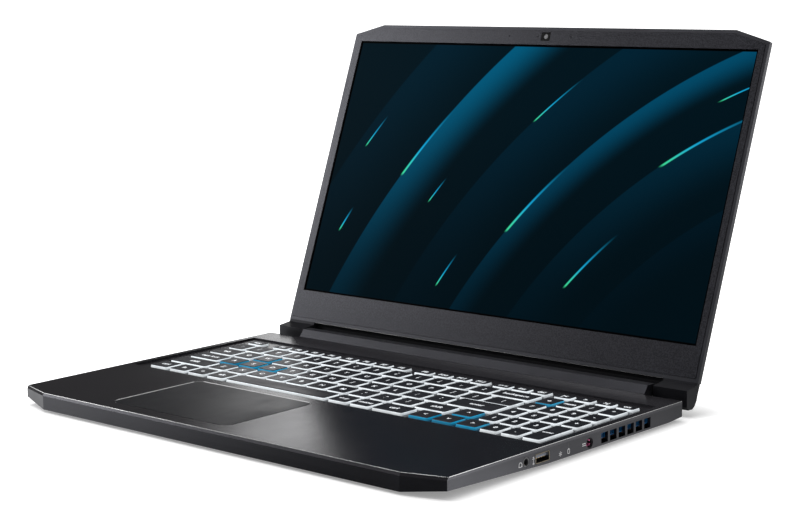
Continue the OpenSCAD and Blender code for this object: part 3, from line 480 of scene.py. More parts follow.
deck_metal = make_deck_finish()
case_plastic = grained_finish(
    "satin_case_plastic", (0.0035, 0.0035, 0.0045, 1), (0.010, 0.010, 0.012, 1), rough=0.40, scale=2200.0,
    depth=0.012 * mm, speckle=0.3)[0]
rear_plastic = grained_finish(
    "rear_case_plastic", (0.009, 0.009, 0.011, 1), (0.018, 0.018, 0.022, 1), rough=0.30, scale=2200.0,
    depth=0.008 * mm, speckle=0.3, specular=0.4)[0]
hinge_plastic = grained_finish(
    "hinge_cap_plastic", (0.004, 0.004, 0.005, 1), (0.010, 0.010, 0.012, 1), rough=0.4, scale=1500.0,
    depth=0.02 * mm, speckle=0.4, specular=0.2)[0]


def along_lid(tree, place, axis):
    """Distance in metres from the hinge axis along one direction of the lid."""
    away = add(tree, "ShaderNodeVectorMath", {"operation": "SUBTRACT"}, _0=place, _1=lid_origin).outputs[0]
    return add(tree, "ShaderNodeVectorMath", {"operation": "DOT_PRODUCT"}, _0=away, _1=axis).outputs["Value"]


# the slot under the screen, whose colour is painted near-black as shade: its top, its back and half its
# width, the pitch of its painted ribs and its roughness
slot_top, slot_back, slot_half = 13.1 * mm, -9.6 * mm, 154.6 * mm
rib_pitch, slot_rough = 1.7 * mm, 0.9


def make_lid_finish():
    """Blasted dark metal; inside the slot under the screen the colour is painted near-black as shade, with
    lighter painted ribs.
    """
    finish, tree, shader, place = grained_finish(
        "blasted_lid_metal", (0.008, 0.008, 0.010, 1), (0.016, 0.016, 0.0195, 1), rough=0.34, scale=2400.0,
        depth=0.008 * mm, speckle=0.3)
    up, out = along_lid(tree, place, lid_up), along_lid(tree, place, lid_out)
    across = sum_of(tree, "ABSOLUTE", add(tree, "ShaderNodeSeparateXYZ", None, Vector=place).outputs[0])
    slot = product(tree, sum_of(tree, "LESS_THAN", up, slot_top),
                   sum_of(tree, "GREATER_THAN", out, slot_back), sum_of(tree, "LESS_THAN", across, slot_half))
    ribs = sum_of(tree, "SINE", product(tree, up, 2 * math.pi / rib_pitch))
    # painted shade: the slot's colour falls to near-black, striped with lighter ribs
    dark = blended(tree, spread(tree, ribs, 0.4, 0.9), grey(0.001), grey(0.014))
    metal = shader.inputs["Base Color"].links[0].from_socket
    rough = shader.inputs["Roughness"].links[0].from_socket
    link(tree, blended(tree, slot, metal, dark), shader, "Base Color")
    link(tree, sum_of(tree, "MAXIMUM", rough, product(tree, slot, slot_rough)), shader, "Roughness")
    return finish


lid_metal = make_lid_finish()
bezel_plastic = grained_finish(
    "grained_bezel_plastic", (0.0035, 0.0035, 0.0045, 1), (0.034, 0.034, 0.041, 1), rough=0.30, scale=1150.0,
    depth=0.032 * mm, amount=0.08, speckle=0.6, specular=0.35)[0]
touch_surface = grained_finish(
    "smooth_touch_surface", (0.0095, 0.0098, 0.0115, 1), (0.017, 0.0175, 0.020, 1), rough=0.32, scale=3200.0,
    depth=0.005 * mm, amount=0.5, speckle=0.2, specular=0.2)[0]
foot_rubber = grained_finish(
    "ribbed_foot_rubber", grey(0.020), (0.060, 0.058, 0.055, 1), rough=0.8, scale=900.0, depth=0.06 * mm,
    amount=0.5)[0]
dome_rubber = grained_finish("dome_rubber", (0.45, 0.46, 0.47, 1), grey(0.60), rough=0.6, scale=900.0)[0]
fan_plastic = grained_finish("fan_plastic", (0.020, 0.020, 0.022, 1), grey(0.05), rough=0.5)[0]
chip_ceramic = grained_finish(
    "chip_top", (0.030, 0.032, 0.036, 1), (0.10, 0.10, 0.11, 1), rough=0.3, amount=0.5)[0]
battery_wrap = grained_finish(
    "battery_wrap", (0.022, 0.022, 0.024, 1), grey(0.06), rough=0.55, scale=600.0, depth=0.05 * mm)[0]
speaker_plastic = grained_finish("speaker_plastic", grey(0.018), grey(0.05), rough=0.6)[0]
screw_steel = metal_finish("screw_steel", grey(0.30), grey(0.12), 0.32)
plate_steel = metal_finish("plate_steel", grey(0.42), grey(0.25), 0.35)
bracket_steel = metal_finish("bracket_steel", grey(0.35), grey(0.18), 0.35, (3000, 40, 3000))
copper = metal_finish("darkened_copper_pipe", (0.10, 0.06, 0.045, 1), (0.05, 0.03, 0.025, 1), 0.35)
polished_rim = metal_finish("polished_rim", grey(0.75), grey(0.50), 0.2)
gold = metal_finish("gold_contact", (0.85, 0.60, 0.22, 1), (0.60, 0.40, 0.12, 1), 0.25)
socket_shell = metal_finish("socket_shell", grey(0.55), grey(0.35), 0.3)
blue_fins = metal_finish(
    "blue_fins", (0.02, 0.19, 0.44, 1), (0.008, 0.08, 0.22, 1), 0.3, (3000, 3000, 40), metallic=0.35)


def make_board_finish():
    """Green circuit board with tracks and solder points."""
    finish, tree, shader, place = new_finish("circuit_board")
    tracks = add(tree, "ShaderNodeTexBrick", None, Vector=stretched(tree, place, (220, 160, 220)),
                 Mortar_Size=0.08, Color1=(0.010, 0.060, 0.030, 1), Color2=(0.012, 0.085, 0.045, 1),
                 Mortar=(0.030, 0.16, 0.08, 1))
    dots = add(tree, "ShaderNodeTexVoronoi", None, Vector=place, Scale=420.0).outputs[0]
    solder = spread(tree, dots, 0.12, 0.18, 1.0, 0.0)
    link(tree, blended(tree, solder, tracks.outputs[0], grey(0.6)), shader, "Base Color")
    link(tree, solder, shader, "Metallic")
    shader.inputs["Roughness"].default_value = 0.35
    bump(tree, shader, solder, 0.05 * mm)
    return finish


circuit_board = make_board_finish()


tongue_grey = (0.16, 0.18, 0.22, 1)
tongue_low, tongue_high = base_point(160, 86, 6.55), base_point(181, 99, 8.45)


def make_socket_finish():
    """Black moulded plastic, greyish at the tongue in the right-hand data socket."""
    finish, tree, shader, place = grained_finish("socket_plastic", grey(0.012), grey(0.03))
    tongue = within(tree, place, tongue_low, tongue_high)
    colour = shader.inputs["Base Color"].links[0].from_socket
    link(tree, blended(tree, tongue, colour, tongue_grey), shader, "Base Color")
    return finish


socket_plastic = make_socket_finish()


def make_light_finish():
    """Small dark windows of the status lights, which are off."""
    finish, tree, shader, place = new_finish("status_light")
    cloud = noise(tree, place, 900.0)
    link(tree, blended(tree, cloud, (0.004, 0.005, 0.006, 1), (0.012, 0.013, 0.015, 1)), shader, "Base Color")
    shader.inputs["Roughness"].default_value = 0.2
    return finish


status_light = make_light_finish()

case_finishes = {
    "bottom_cover": case_plastic, "top_case": deck_metal, "rear_cover": rear_plastic,
    "rubber_feet": foot_rubber, "case_screws": screw_steel, "keyboard_plate": plate_steel,
    "key_domes": dome_rubber, "touchpad": touch_surface, "touchpad_bracket": plate_steel,
    "mainboard": circuit_board, "socket_board": circuit_board, "processor": chip_ceramic,
    "graphics_chip": chip_ceramic, "heat_pipes": copper, "fan_housings": fan_plastic,
    "fan_rotor_left": fan_plastic, "fan_rotor_right": fan_plastic, "side_fins": blue_fins,
    "rear_fins": blue_fins, "battery": battery_wrap, "storage_drive": circuit_board,
    "memory_modules": circuit_board,
    "wireless_card": circuit_board, "speakers": speaker_plastic, "audio_jack": socket_plastic,
    "power_jack": socket_plastic, "data_sockets": socket_plastic, "network_socket": socket_plastic,
    "rear_sockets": socket_shell, "status_lights": status_light, "hinge_bracket_left": bracket_steel,
    "hinge_bracket_right": bracket_steel, "hinge_arm_left": bracket_steel, "hinge_arm_right": bracket_steel,
    "hinge_caps": hinge_plastic, "lid_cover": lid_metal, "lid_bezel": bezel_plastic,
}
for node_name, finish in case_finishes.items():
    nodes[node_name].data.materials.clear()
    nodes[node_name].data.materials.append(finish)


# ---- Screen ----
picture_half, picture_low, picture_high = 172.1 * mm, 37.6 * mm, 231.2 * mm
arcs_x, arcs_v = 330, -130  # the centre of all arcs in mm, across and up the lid
arc_edge = 0.8  # how sharply a band ends outwards
night_low, night_high = (0.0001, 0.0046, 0.0080, 1), (0.0001, 0.0070, 0.0125, 1)
streak_green, streak_blue = (0.05, 0.70, 0.28, 1), (0.01, 0.45, 0.80, 1)
# broad bands: outer edge, how far the light fades inwards, tint
arc_bands = [
    (300, 26, (0.000, 0.005, 0.012, 1)), (352, 40, (0.000, 0.016, 0.034, 1)),
    (398, 22, (0.000, 0.060, 0.125, 1)), (446, 50, (0.000, 0.009, 0.020, 1)),
    (506, 34, (0.000, 0.090, 0.180, 1)), (560, 60, (0.000, 0.006, 0.013, 1)),
]
# fine bright lines along the same arcs: radius, lowest and highest point up the lid, width
arc_lines = [
    (276, 120, 168, 0.9), (330, 62, 104, 1.1), (352, 150, 196, 1.2), (372, 196, 216, 0.7),
    (398, 96, 150, 1.3), (420, 52, 78, 0.8), (446, 176, 210, 0.8), (470, 112, 132, 0.7),
    (506, 130, 186, 1.3), (528, 84, 104, 0.9), (552, 150, 176, 0.8),
]


def lit_by(tree, colour, level, tint):
    """A colour with a tint's light added to it."""
    settings = {"data_type": "RGBA", "blend_type": "ADD"}
    return add(tree, "ShaderNodeMix", settings, _0=level, _6=colour, _7=tint).outputs[2]


def make_screen_finish():
    """A lit picture of soft arcs over dark blue, inside a thin dark border."""
    finish, tree, shader, place = new_finish("lit_screen")
    split = add(tree, "ShaderNodeSeparateXYZ", None, Vector=place).outputs
    up, across = along_lid(tree, place, lid_up), split[0]

    def ring(x, v):
        """Distance in metres from a centre x, v in mm."""
        a = sum_of(tree, "SUBTRACT", across, x * mm)
        b = sum_of(tree, "SUBTRACT", up, v * mm)
        return sum_of(tree, "SQRT", sum_of(tree, "MULTIPLY_ADD", a, a, product(tree, b, b)))

    colour = blended(tree, spread(tree, up, 0.05, 0.24), night_low, night_high)
    ripple = ring(arcs_x, arcs_v)
    # the bands are brightest at the top of the screen
    tall = spread(tree, up, 0.03, 0.24, 0.12, 1.0)
    for edge, fade, tint in arc_bands:
        behind = spread(tree, ripple, (edge - fade) * mm, edge * mm)
        ahead = spread(tree, ripple, edge * mm, (edge + arc_edge) * mm, 1.0, 0.0)
        colour = lit_by(tree, colour, product(tree, behind, ahead, tall), tint)
    for radius, low, high, thick in arc_lines:
        off = sum_of(tree, "ABSOLUTE", sum_of(tree, "SUBTRACT", ripple, radius * mm))
        line = spread(tree, off, 0.15 * thick * mm, thick * mm, 1.0, 0.0)
        starts = spread(tree, up, low * mm, (low + 3) * mm)
        ends = spread(tree, up, (low + 5) * mm, high * mm, 1.0, 0.0)
        turns_blue = spread(tree, up, low * mm, (low * 0.55 + high * 0.45) * mm)
        colour = lit_by(tree, colour, product(tree, line, starts, ends),
                        blended(tree, turns_blue, streak_green, streak_blue))
    inside = product(tree, sum_of(tree, "LESS_THAN", sum_of(tree, "ABSOLUTE", across), picture_half),
                     sum_of(tree, "GREATER_THAN", up, picture_low),
                     sum_of(tree, "LESS_THAN", up, picture_high))
    link(tree, blended(tree, inside, grey(0.0), colour), shader, "Emission Color")
    link(tree, blended(tree, noise(tree, place, 4000.0), grey(0.0004), grey(0.0010)), shader, "Base Color")
    shader.inputs["Emission Strength"].default_value = 1.0
    shader.inputs["Roughness"].default_value = 0.3
    shader.inputs["Specular IOR Level"].default_value = 0.004
    return finish


nodes["display_panel"].data.materials.clear()
nodes["display_panel"].data.materials.append(make_screen_finish())

# ---- Keys, in mm from the base's middle and front ----
key_pitch, row_pitch, key_gap = 18.75, 18.6, 2.9
key_left, key_front = -165.6, 101.6
pad_x, pad_pitch, arrow_x = 111.5, 15.9, 71.3
function_y, function_pitch, function_depth = 195.2, 16.1, 9.0
function_groups, system_x, escape_width = (-140.2, -74.6, -5.2), 62, 14.5
enter_extra = 2.3  # the enter key is deeper than its row by this
cap_depth = row_pitch - key_gap


def row_y(row):
    return key_front + row_pitch * row


def key_row(units, row, labels):
    """Keys of one row as (label, left, front, width, depth), widths in key pitches."""
    keys, x = [], key_left
    for unit, label in zip(units, labels):
        keys.append((label, x, row_y(row), unit * key_pitch - key_gap, cap_depth))
        x += unit * key_pitch
    return keys


def pad_key(label, column, row, rows=1):
    """A key of the number pad, one or two rows deep."""
    depth = cap_depth + row_pitch * (rows - 1)
    return (label, pad_x + pad_pitch * column, row_y(row), pad_pitch - key_gap, depth)


def small_key(label, x, width=function_pitch - key_gap):
    """A key of the shallow rear row."""
    return (label, x, function_y, width, function_depth)


def arrow_key(label, column, row):
    return (label, arrow_x + key_pitch * column, row_y(row), key_pitch - key_gap, cap_depth)


bottom = key_row([1.04, 1, 1, 1, 5, 1, 1, 1.5], 0, ["ctrl", "fn", "o", "alt", "", "alt gr", "menu", "ctrl"])
lower = key_row([2.04] + [1] * 10 + [1.5], 1, ["shift", *"ZXCVBNM", "<\n,", ">\n.", "?\n/", "shift"])
home = key_row([1.6] + [1] * 11 + [2.08], 2, ["caps lock", *"ASDFGHJKL", ":\n;", '"\n\'', "enter"])
upper = key_row([1.34] + [1] * 12 + [1.34], 3, ["tab", *"QWERTYUIOP", "{\n[", "}\n]", "|\n\\"])
number = key_row([0.9] + [1] * 12 + [1.78], 4,
                 ["~\n`", "!\n1", "@\n2", "#\n3", "$\n4", "%\n5", "^\n6", "&\n7", "*\n8", "(\n9", ")\n0",
                  "_\n-", "+\n=", "backspace"])
enter = home[12][:4] + (cap_depth + enter_extra,)
function_row = [small_key(f"F{4 * g + i + 1}", left + function_pitch * i)
                for g, left in enumerate(function_groups) for i in range(4)]
system_row = [small_key(label, system_x + (function_pitch - 0.6) * i)
              for i, label in enumerate(("prt sc", "ins", "del"))]
system_row += [small_key(label, pad_x + pad_pitch * i, pad_pitch - key_gap)
               for i, label in enumerate(("|<", ">", ">|", "on"))]
pad = [pad_key("num", 1, 4), pad_key("/", 2, 4), pad_key("*", 3, 4)]
pad += [pad_key(label, i % 4, 3 - i // 4) for i, label in enumerate("789-456+")]
pad += [pad_key(label, i, 1) for i, label in enumerate("123")] + [pad_key("0", 1, 0), pad_key(".", 2, 0)]

keys_of_node = {
    "bottom_row_keys": bottom[:4] + bottom[5:], "key_space": [bottom[4]], "lower_row_keys": lower,
    "home_row_keys": [home[0]] + home[4:12], "key_a": [home[1]], "key_s": [home[2]], "key_d": [home[3]],
    "key_enter": [enter], "upper_row_keys": upper[:2] + upper[3:], "key_w": [upper[2]],
    "number_row_keys": number, "function_keys": function_row, "system_keys": system_row,
    "number_pad_keys": pad, "number_pad_enter": [pad_key("enter", 3, 0, 2)],
    "key_escape": [small_key("esc", key_left, escape_width)], "key_up": [arrow_key("^", 1, 1)],
    "key_left_arrow": [arrow_key("<", 0, 0)], "key_down": [arrow_key("v", 1, 0)],
    "key_right_arrow": [arrow_key(">", 2, 0)], "key_launch": [pad_key("o", 0, 4)],
}
blue_keys = ("key_w", "key_a", "key_s", "key_d", "key_up", "key_left_arrow", "key_down", "key_right_arrow",
             "key_launch")

key_black = grained_finish("keycap_black", (0.009, 0.009, 0.011, 1), (0.020, 0.020, 0.024, 1), rough=0.34,
                           scale=2600.0, depth=0.006 * mm, amount=0.6, speckle=0.3, specular=0.6)[0]
white_glow = glow_finish("white_key_light", (0.75, 0.78, 0.80, 1), (0.80, 0.86, 0.90, 1), 0.85, 0.45)
blue_glow = glow_finish("blue_key_light", (0.01, 0.12, 0.22, 1), (0.006, 0.26, 0.46, 1), 1.05, 0.4)
legend_white = glow_finish("legend_white", (0.60, 0.62, 0.64, 1), (0.80, 0.84, 0.88, 1), 0.8)

cap_corner, cap_rim, cap_lean = 1.4 * mm, 0.2 * mm, 0.45 * mm
cap_wall, cap_roof = 1.0 * mm, 1.2 * mm
dish_inset, dish_depth = 1.6 * mm, 0.08 * mm
# lettering in mm: height of one sign and of stacked signs, height per width of a word, room beside it
sign_height, stacked_height, word_share, word_margin = 5.0, 3.2, 1.6, 2
sign_sink = 0.05 * mm


def model_keycap(width, depth):
    """A hollow keycap, its top at z 0, with rounded corners, a soft rim, a shallow dish and a lit skirt."""
    cap = new_block("keycap", (width, depth, cap_height))
    select_faces(cap, faces_up)
    narrower = (1 - 2 * cap_lean / width, 1 - 2 * cap_lean / depth, 1)
    bpy.ops.transform.resize(value=narrower, center_override=(0, 0, 0))
    select_edges(cap, stands_up)
    bpy.ops.mesh.bevel(offset=cap_corner, segments=4, affect="EDGES")
    select_faces(cap, faces_up)
    bpy.ops.mesh.bevel(offset=cap_rim, segments=2, affect="EDGES")
    select_faces(cap, faces_up)
    bpy.ops.mesh.inset(thickness=dish_inset)
    bpy.ops.transform.translate(value=(0, 0, -dish_depth))
    select_faces(cap, faces_down)
    bpy.ops.mesh.inset(thickness=cap_wall)
    bpy.ops.mesh.extrude_region_move(TRANSFORM_OT_translate={"value": (0, 0, cap_height - cap_roof)})
    bpy.ops.mesh.select_all(action="SELECT")
    bpy.ops.mesh.bisect(plane_co=(0, 0, cap_height / 2 - dark_band), plane_no=(0, 0, 1))
    finish_shape(cap, 40)
    put(cap, Matrix.Translation((0, 0, -cap_height / 2)))
    return cap


def dress_cap(cap, top, skirt):
    """Gives a keycap its dark top and its lit skirt."""
    cap.data.materials.clear()
    for finish in (top, skirt):
        cap.data.materials.append(finish)
    for polygon in cap.data.polygons:
        polygon.material_index = 0 if polygon.center.z > -dark_band else 1


def height_of_sign(label, width, depth):
    """Height of a key's lettering in mm: stacked signs are small, and words shrink to fit."""
    if "\n" in label:
        return stacked_height
    if len(label) == 1 and depth > function_depth:
        return sign_height
    return min(sign_height, word_share * (width - word_margin) / len(label))


keycaps = {}
for node_name, keys in keys_of_node.items():
    caps, marks = [], []
    blue = node_name in blue_keys
    for label, x, y, width, depth in keys:
        size = (round(width, 3), round(depth, 3))
        if size not in keycaps:
            keycaps[size] = model_keycap(width * mm, depth * mm)
        dress_cap(keycaps[size], key_black, blue_glow if blue else white_glow)
        middle = base_point(x + width / 2, y + depth / 2, 0)
        middle.z = key_top
        caps.append(copy_of(keycaps[size], "cap", Matrix.Translation(middle)))
        if label:
            mark = print_mark(label, height_of_sign(label, width, depth) * mm)
            put(mark, Matrix.Translation(middle + Vector((0, 0, -sign_sink))))
            marks.append(mark)
    slot = "key_blue" if blue else "key_black"
    fit_out(joined(caps, node_name + "_caps"), node_name, slot, stands_for=[node_name])
    if marks:
        fit_out(joined(marks, node_name + "_legends"), node_name, slot, legend_white)
for cap in keycaps.values():
    remove(cap)


# ---- Camera window and its lens, whose glass has a painted glow ----
def make_window_finish():
    """Dark glossy cover of the camera."""
    finish, tree, shader, place = new_finish("camera_window")
    tint = noise(tree, place, 700.0)
    link(tree, blended(tree, tint, grey(0.004), grey(0.010)), shader, "Base Color")
    shader.inputs["Roughness"].default_value = 0.12
    return finish


camera_glass = make_window_finish()
nodes["camera_module"].data.materials.clear()
nodes["camera_module"].data.materials.append(camera_glass)
camera_x, camera_v, lens_back = 0.9, 238.7, -4.55
lens_radius, lens_height, glass_radius = 1.65 * mm, 0.45 * mm, 1.15 * mm
# from the ring inwards: the rim, the step down to the glass, and the two rises of its dome, as inset and rise
lens_steps = ((0.35, 0), (0.15, -0.25), (0.2, 0.12), (0.45, 0.06))


def model_lens():
    """A stepped ring with a domed glass in it."""
    lens = new_disc("camera_lens", lens_radius, 40)
    bpy.ops.mesh.select_all(action="SELECT")
    bpy.ops.mesh.extrude_region_move(TRANSFORM_OT_translate={"value": (0, 0, lens_height)})
    for inwards, rise in lens_steps:
        bpy.ops.mesh.inset(thickness=inwards * mm)
        bpy.ops.transform.translate(value=(0, 0, rise * mm))
    finish_shape(lens, 50)
    for polygon in lens.data.polygons:
        away = math.hypot(polygon.center.x, polygon.center.y)
        polygon.material_index = 0 if away > glass_radius else 1
    return lens


lens_ring = grained_finish("lens_ring", grey(0.16), grey(0.28), rough=0.35, scale=3000.0)[0]
# painted light: the lens glass glows faint blue, though it is no lamp
lens_glass_painted_glow = glow_finish("lens_glass_painted_glow", (0.05, 0.08, 0.12, 1), (0.02, 0.03, 0.05, 1), 0.2)
lens = model_lens()
put(lens, Matrix.Translation(lid_point(camera_x, camera_v, lens_back)) @ lid_turn)
fit_out(lens, "lid", "camera_glass", lens_ring, lens_glass_painted_glow)


# ---- Sockets and marks on the right side ----
def model_bar(name, width, height, thick, soft=0.05 * mm):
    """A flat bar with soft edges, its back at z 0."""
    bar = new_block(name, (width, height, thick))
    select_edges(bar, stands_up)
    bpy.ops.mesh.bevel(offset=min(width, height) * 0.2, segments=2, affect="EDGES")
    select_faces(bar, faces_up)
    bpy.ops.mesh.bevel(offset=min(soft, thick * 0.4), segments=1, affect="EDGES")
    finish_shape(bar)
    put(bar, Matrix.Translation((0, 0, thick / 2)))
    return bar


def model_ring(name, radius, width, thick, sides=28):
    """A flat ring with a soft outer edge, its back at z 0."""
    ring = new_disc(name, radius, sides)
    bpy.ops.mesh.select_all(action="SELECT")
    bpy.ops.mesh.inset(thickness=width)
    bpy.ops.mesh.delete(type="FACE")
    bpy.ops.mesh.select_all(action="SELECT")
    bpy.ops.mesh.extrude_region_move(TRANSFORM_OT_translate={"value": (0, 0, thick)})
    bpy.ops.mesh.select_all(action="SELECT")
    bpy.ops.mesh.normals_make_consistent(inside=False)
    finish_shape(ring, 50)
    return ring


def model_frame(name, width, height, wall, thick):
    """A rectangular frame with rounded corners, its back at z 0."""
    shape = new_block(name, (width, height, thick))
    select_edges(shape, stands_up)
    bpy.ops.mesh.bevel(offset=0.5 * mm, segments=3, affect="EDGES")
    select_faces(shape, lambda face: faces_up(face) or faces_down(face))
    bpy.ops.mesh.inset(thickness=wall)
    bpy.ops.mesh.bridge_edge_loops()
    finish_shape(shape, 40)
    put(shape, Matrix.Translation((0, 0, thick / 2)))
    return shape


def side_place(y, z, out=0.0):
    """Where a piece on the right side goes: y from the front, z and how far it stands out, in mm."""
    return Matrix.Translation((right_x + out * mm, front_y + y * mm, z * mm)) @ side_turn


def shifted(piece, across, up, turn=0.0):
    """Moves a flat piece before it goes to its place, in mm and degrees."""
    put(piece, Matrix.Translation((across * mm, up * mm, 0)) @ Matrix.Rotation(math.radians(turn), 4, "Z"))
    return piece


mark_print = grained_finish("side_mark_print", grey(0.78), grey(0.88), rough=0.5, scale=3000.0)[0]
pink_contact = metal_finish("power_contact", (0.85, 0.22, 0.45, 1), (0.60, 0.12, 0.28, 1), 0.3, metallic=0.4)
tongue_plastic = grained_finish(
    "tongue_plastic", tongue_grey, (0.24, 0.26, 0.30, 1), rough=0.35, scale=2500.0)[0]
gold_shell = metal_finish("socket_frame_metal", (0.34, 0.29, 0.20, 1), (0.14, 0.12, 0.09, 1), 0.3)
mark_thick = 0.03 * mm
mark_scale = 1.3


def mark_bar(width, height, across=0.0, up=0.0, turn=0.0):
    """A straight stroke of a sign, in mm."""
    return shifted(model_bar("mark", width * mm, height * mm, mark_thick), across, up, turn)


def mark_ring(radius, up=0.0, wall=0.25):
    """A round stroke of a sign, in mm."""
    return shifted(model_ring("mark", radius * mm, wall * mm, mark_thick), 0, up)


def make_side_marks():
    """Generic signs beside the sockets: a headset, a data link, a lamp, a cell and direct current."""
    headset = [mark_ring(1.15, wall=0.28), mark_bar(0.6, 1.1, -1, -0.5), mark_bar(0.6, 1.1, 1, -0.5)]
    data = [mark_bar(0.3, 3.2), mark_ring(0.5, -1.5), mark_bar(1.5, 0.3, up=0.6), mark_bar(1.0, 0.3, up=1.3)]
    lamp = [mark_ring(0.6)] + [mark_bar(0.28, 2.4, turn=turn) for turn in (0, 60, 120)]
    cell = [model_frame("mark", 1.7 * mm, 2.2 * mm, 0.3 * mm, mark_thick), mark_bar(0.7, 0.3, up=1.25)]
    current = [mark_bar(2.6, 0.35, up=0.5), mark_bar(2.6, 0.35, up=-0.4)]
    for name, parts, y, z in (
        ("headset_mark", headset, 72, 6.4), ("data_mark", data, 83.9, 6.6), ("lamp_mark", lamp, 109.3, 5.1),
        ("cell_mark", cell, 117.2, 5.1), ("current_mark", current, 132.2, 5.9),
    ):
        mark = joined(parts, name)
        put(mark, Matrix.Scale(mark_scale, 4))
        put(mark, side_place(y, z))
        fit_out(mark, "base", "shell_plastic", mark_print)


# middles of the right-hand sockets, from the front of the base and the desk
data_y, data_z, headset_y, headset_z, power_y, power_z = 92.4, 6.7, 77.2, 7, 137.8, 5.9
tongue_z, contact_z = 7.5, 6.55


def make_data_socket():
    """The data socket's metal mouth, its tongue and four contacts."""
    shell = model_frame("data_socket_frame", 12.9 * mm, 5.5 * mm, 0.25 * mm, 0.5 * mm)
    put(shell, side_place(data_y, data_z, -0.42))
    fit_out(shell, "base", "socket_metal", gold_shell)
    tongue = model_bar("data_socket_tongue", 10.9 * mm, 1.7 * mm, 9 * mm, 0.1 * mm)
    put(tongue, side_place(data_y, tongue_z, -10.4))
    fit_out(tongue, "base", "socket_plastic", tongue_plastic)
    strips = [shifted(model_bar("strip", 1.1 * mm, 0.25 * mm, 8.4 * mm), across, 0)
              for across in (-3.6, -1.2, 1.2, 3.6)]
    contacts = joined(strips, "data_socket_contacts")
    put(contacts, side_place(data_y, contact_z, -10))
    fit_out(contacts, "base", "socket_metal", gold)


def make_headset_socket():
    """The headset socket's ring and the contact spring in it."""
    jack = model_ring("headset_socket_ring", 2.6 * mm, 0.3 * mm, 0.3 * mm, 36)
    put(jack, side_place(headset_y, headset_z, -0.22))
    fit_out(jack, "base", "socket_plastic", lens_ring)
    spring = shifted(model_bar("headset_socket_spring", 0.9 * mm, 0.3 * mm, 2 * mm), -0.4, -1.5)
    put(spring, side_place(headset_y, headset_z, -3.2))
    fit_out(spring, "base", "socket_metal", gold)


def make_power_socket():
    """Four contact leaves round the power socket's pin."""
    leaves = []
    for turn in range(0, 360, 90):
        leaf = shifted(model_bar("leaf", 1.5 * mm, 0.6 * mm, 3 * mm), 0, 1.9)
        put(leaf, Matrix.Rotation(math.radians(turn + 45), 4, "Z"))
        leaves.append(leaf)
    contact = joined(leaves, "power_socket_contacts")
    put(contact, side_place(power_y, power_z, -4.2))
    fit_out(contact, "base", "socket_metal", pink_contact)


make_side_marks()
make_data_socket()
make_headset_socket()
make_power_socket()


# ---- Polished line round the deck ----
line_thick, line_soft = 0.3 * mm, 0.08 * mm
corner_across, corner_back = 27.1, 8.2
corner_turn = math.atan2(corner_back, corner_across)


def lay_deck_line(name, size, x, y, sunk, turn=0.0):
    """A polished line on the deck: x in metres, its size, y from the front and depth in the deck in mm."""
    line = model_bar(name, size[0] * mm, size[1] * mm, line_thick, line_soft)
    put(line, Matrix.Rotation(turn, 4, "Z"))
    put(line, Matrix.Translation((x, front_y + y * mm, deck_z - sunk * mm)))
    fit_out(line, "base", "deck_metal", polished_rim)


for name, side in (("deck_edge_right", 1), ("deck_edge_left", -1)):
    lay_deck_line(name, (0.32, 225.4), side * (right_x - 0.15 * mm), 122.5, 0.29)
lay_deck_line("deck_edge_front", (308.8, 0.3), 0, 0.95, 0.27)
for name, side in (("deck_corner_edge_right", 1), ("deck_corner_edge_left", -1)):
    lay_deck_line(name, (27.9, 0.3), side * 168.2 * mm, 5.05, 0.27, side * corner_turn)


# ---- Lower end of the lid ----
# painted highlight: a lighter metal strip stands for the light line along the lid's lower edge
painted_edge_highlight = metal_finish("painted_edge_highlight", grey(0.42), grey(0.30), 0.35)
rim_v, rim_w, lip_x, lip_v, lip_w = 13.1, -4.75, 156, 9.7, -9.85


def make_lid_end():
    """A lighter metal strip as a painted highlight along the lower edge of the rim between the caps, and the
    ends of the lip behind the caps.
    """
    edge = model_bar("lid_lower_edge", 308 * mm, 0.6 * mm, 0.5 * mm, 0.1 * mm)
    put(edge, Matrix.Translation(lid_point(0, rim_v, rim_w)) @ lid_turn)
    fit_out(edge, "lid", "lid_metal", painted_edge_highlight)
    for name, side in (("lip_end_right", 1), ("lip_end_left", -1)):
        end = model_bar(name, 3.6 * mm, 7.4 * mm, 1.4 * mm)
        put(end, Matrix.Translation(lid_point(side * lip_x, lip_v, lip_w)) @ lid_turn)
        fit_out(end, "lid", "lid_metal", hinge_plastic)


make_lid_end()


# ---- Floor, backdrop and light ----
base_depth = 254 * mm
base_middle = front_y + base_depth / 2
# painted light: the camera sees the paper brighter away from the base, which covers the lid's cast shadow
paper_by_base, paper_beyond = 0.26, 1.15  # light of the paper where it meets the base and beyond its shadow
card_left, card_right, card_far = 2.2, 0.10, 2.6  # light of the paper in reflections
side_front, side_middle, side_rear = 1.4, 1.3, 0.6  # the same along the right side of the base
air_light, air_gloss = 0.55, 0.05


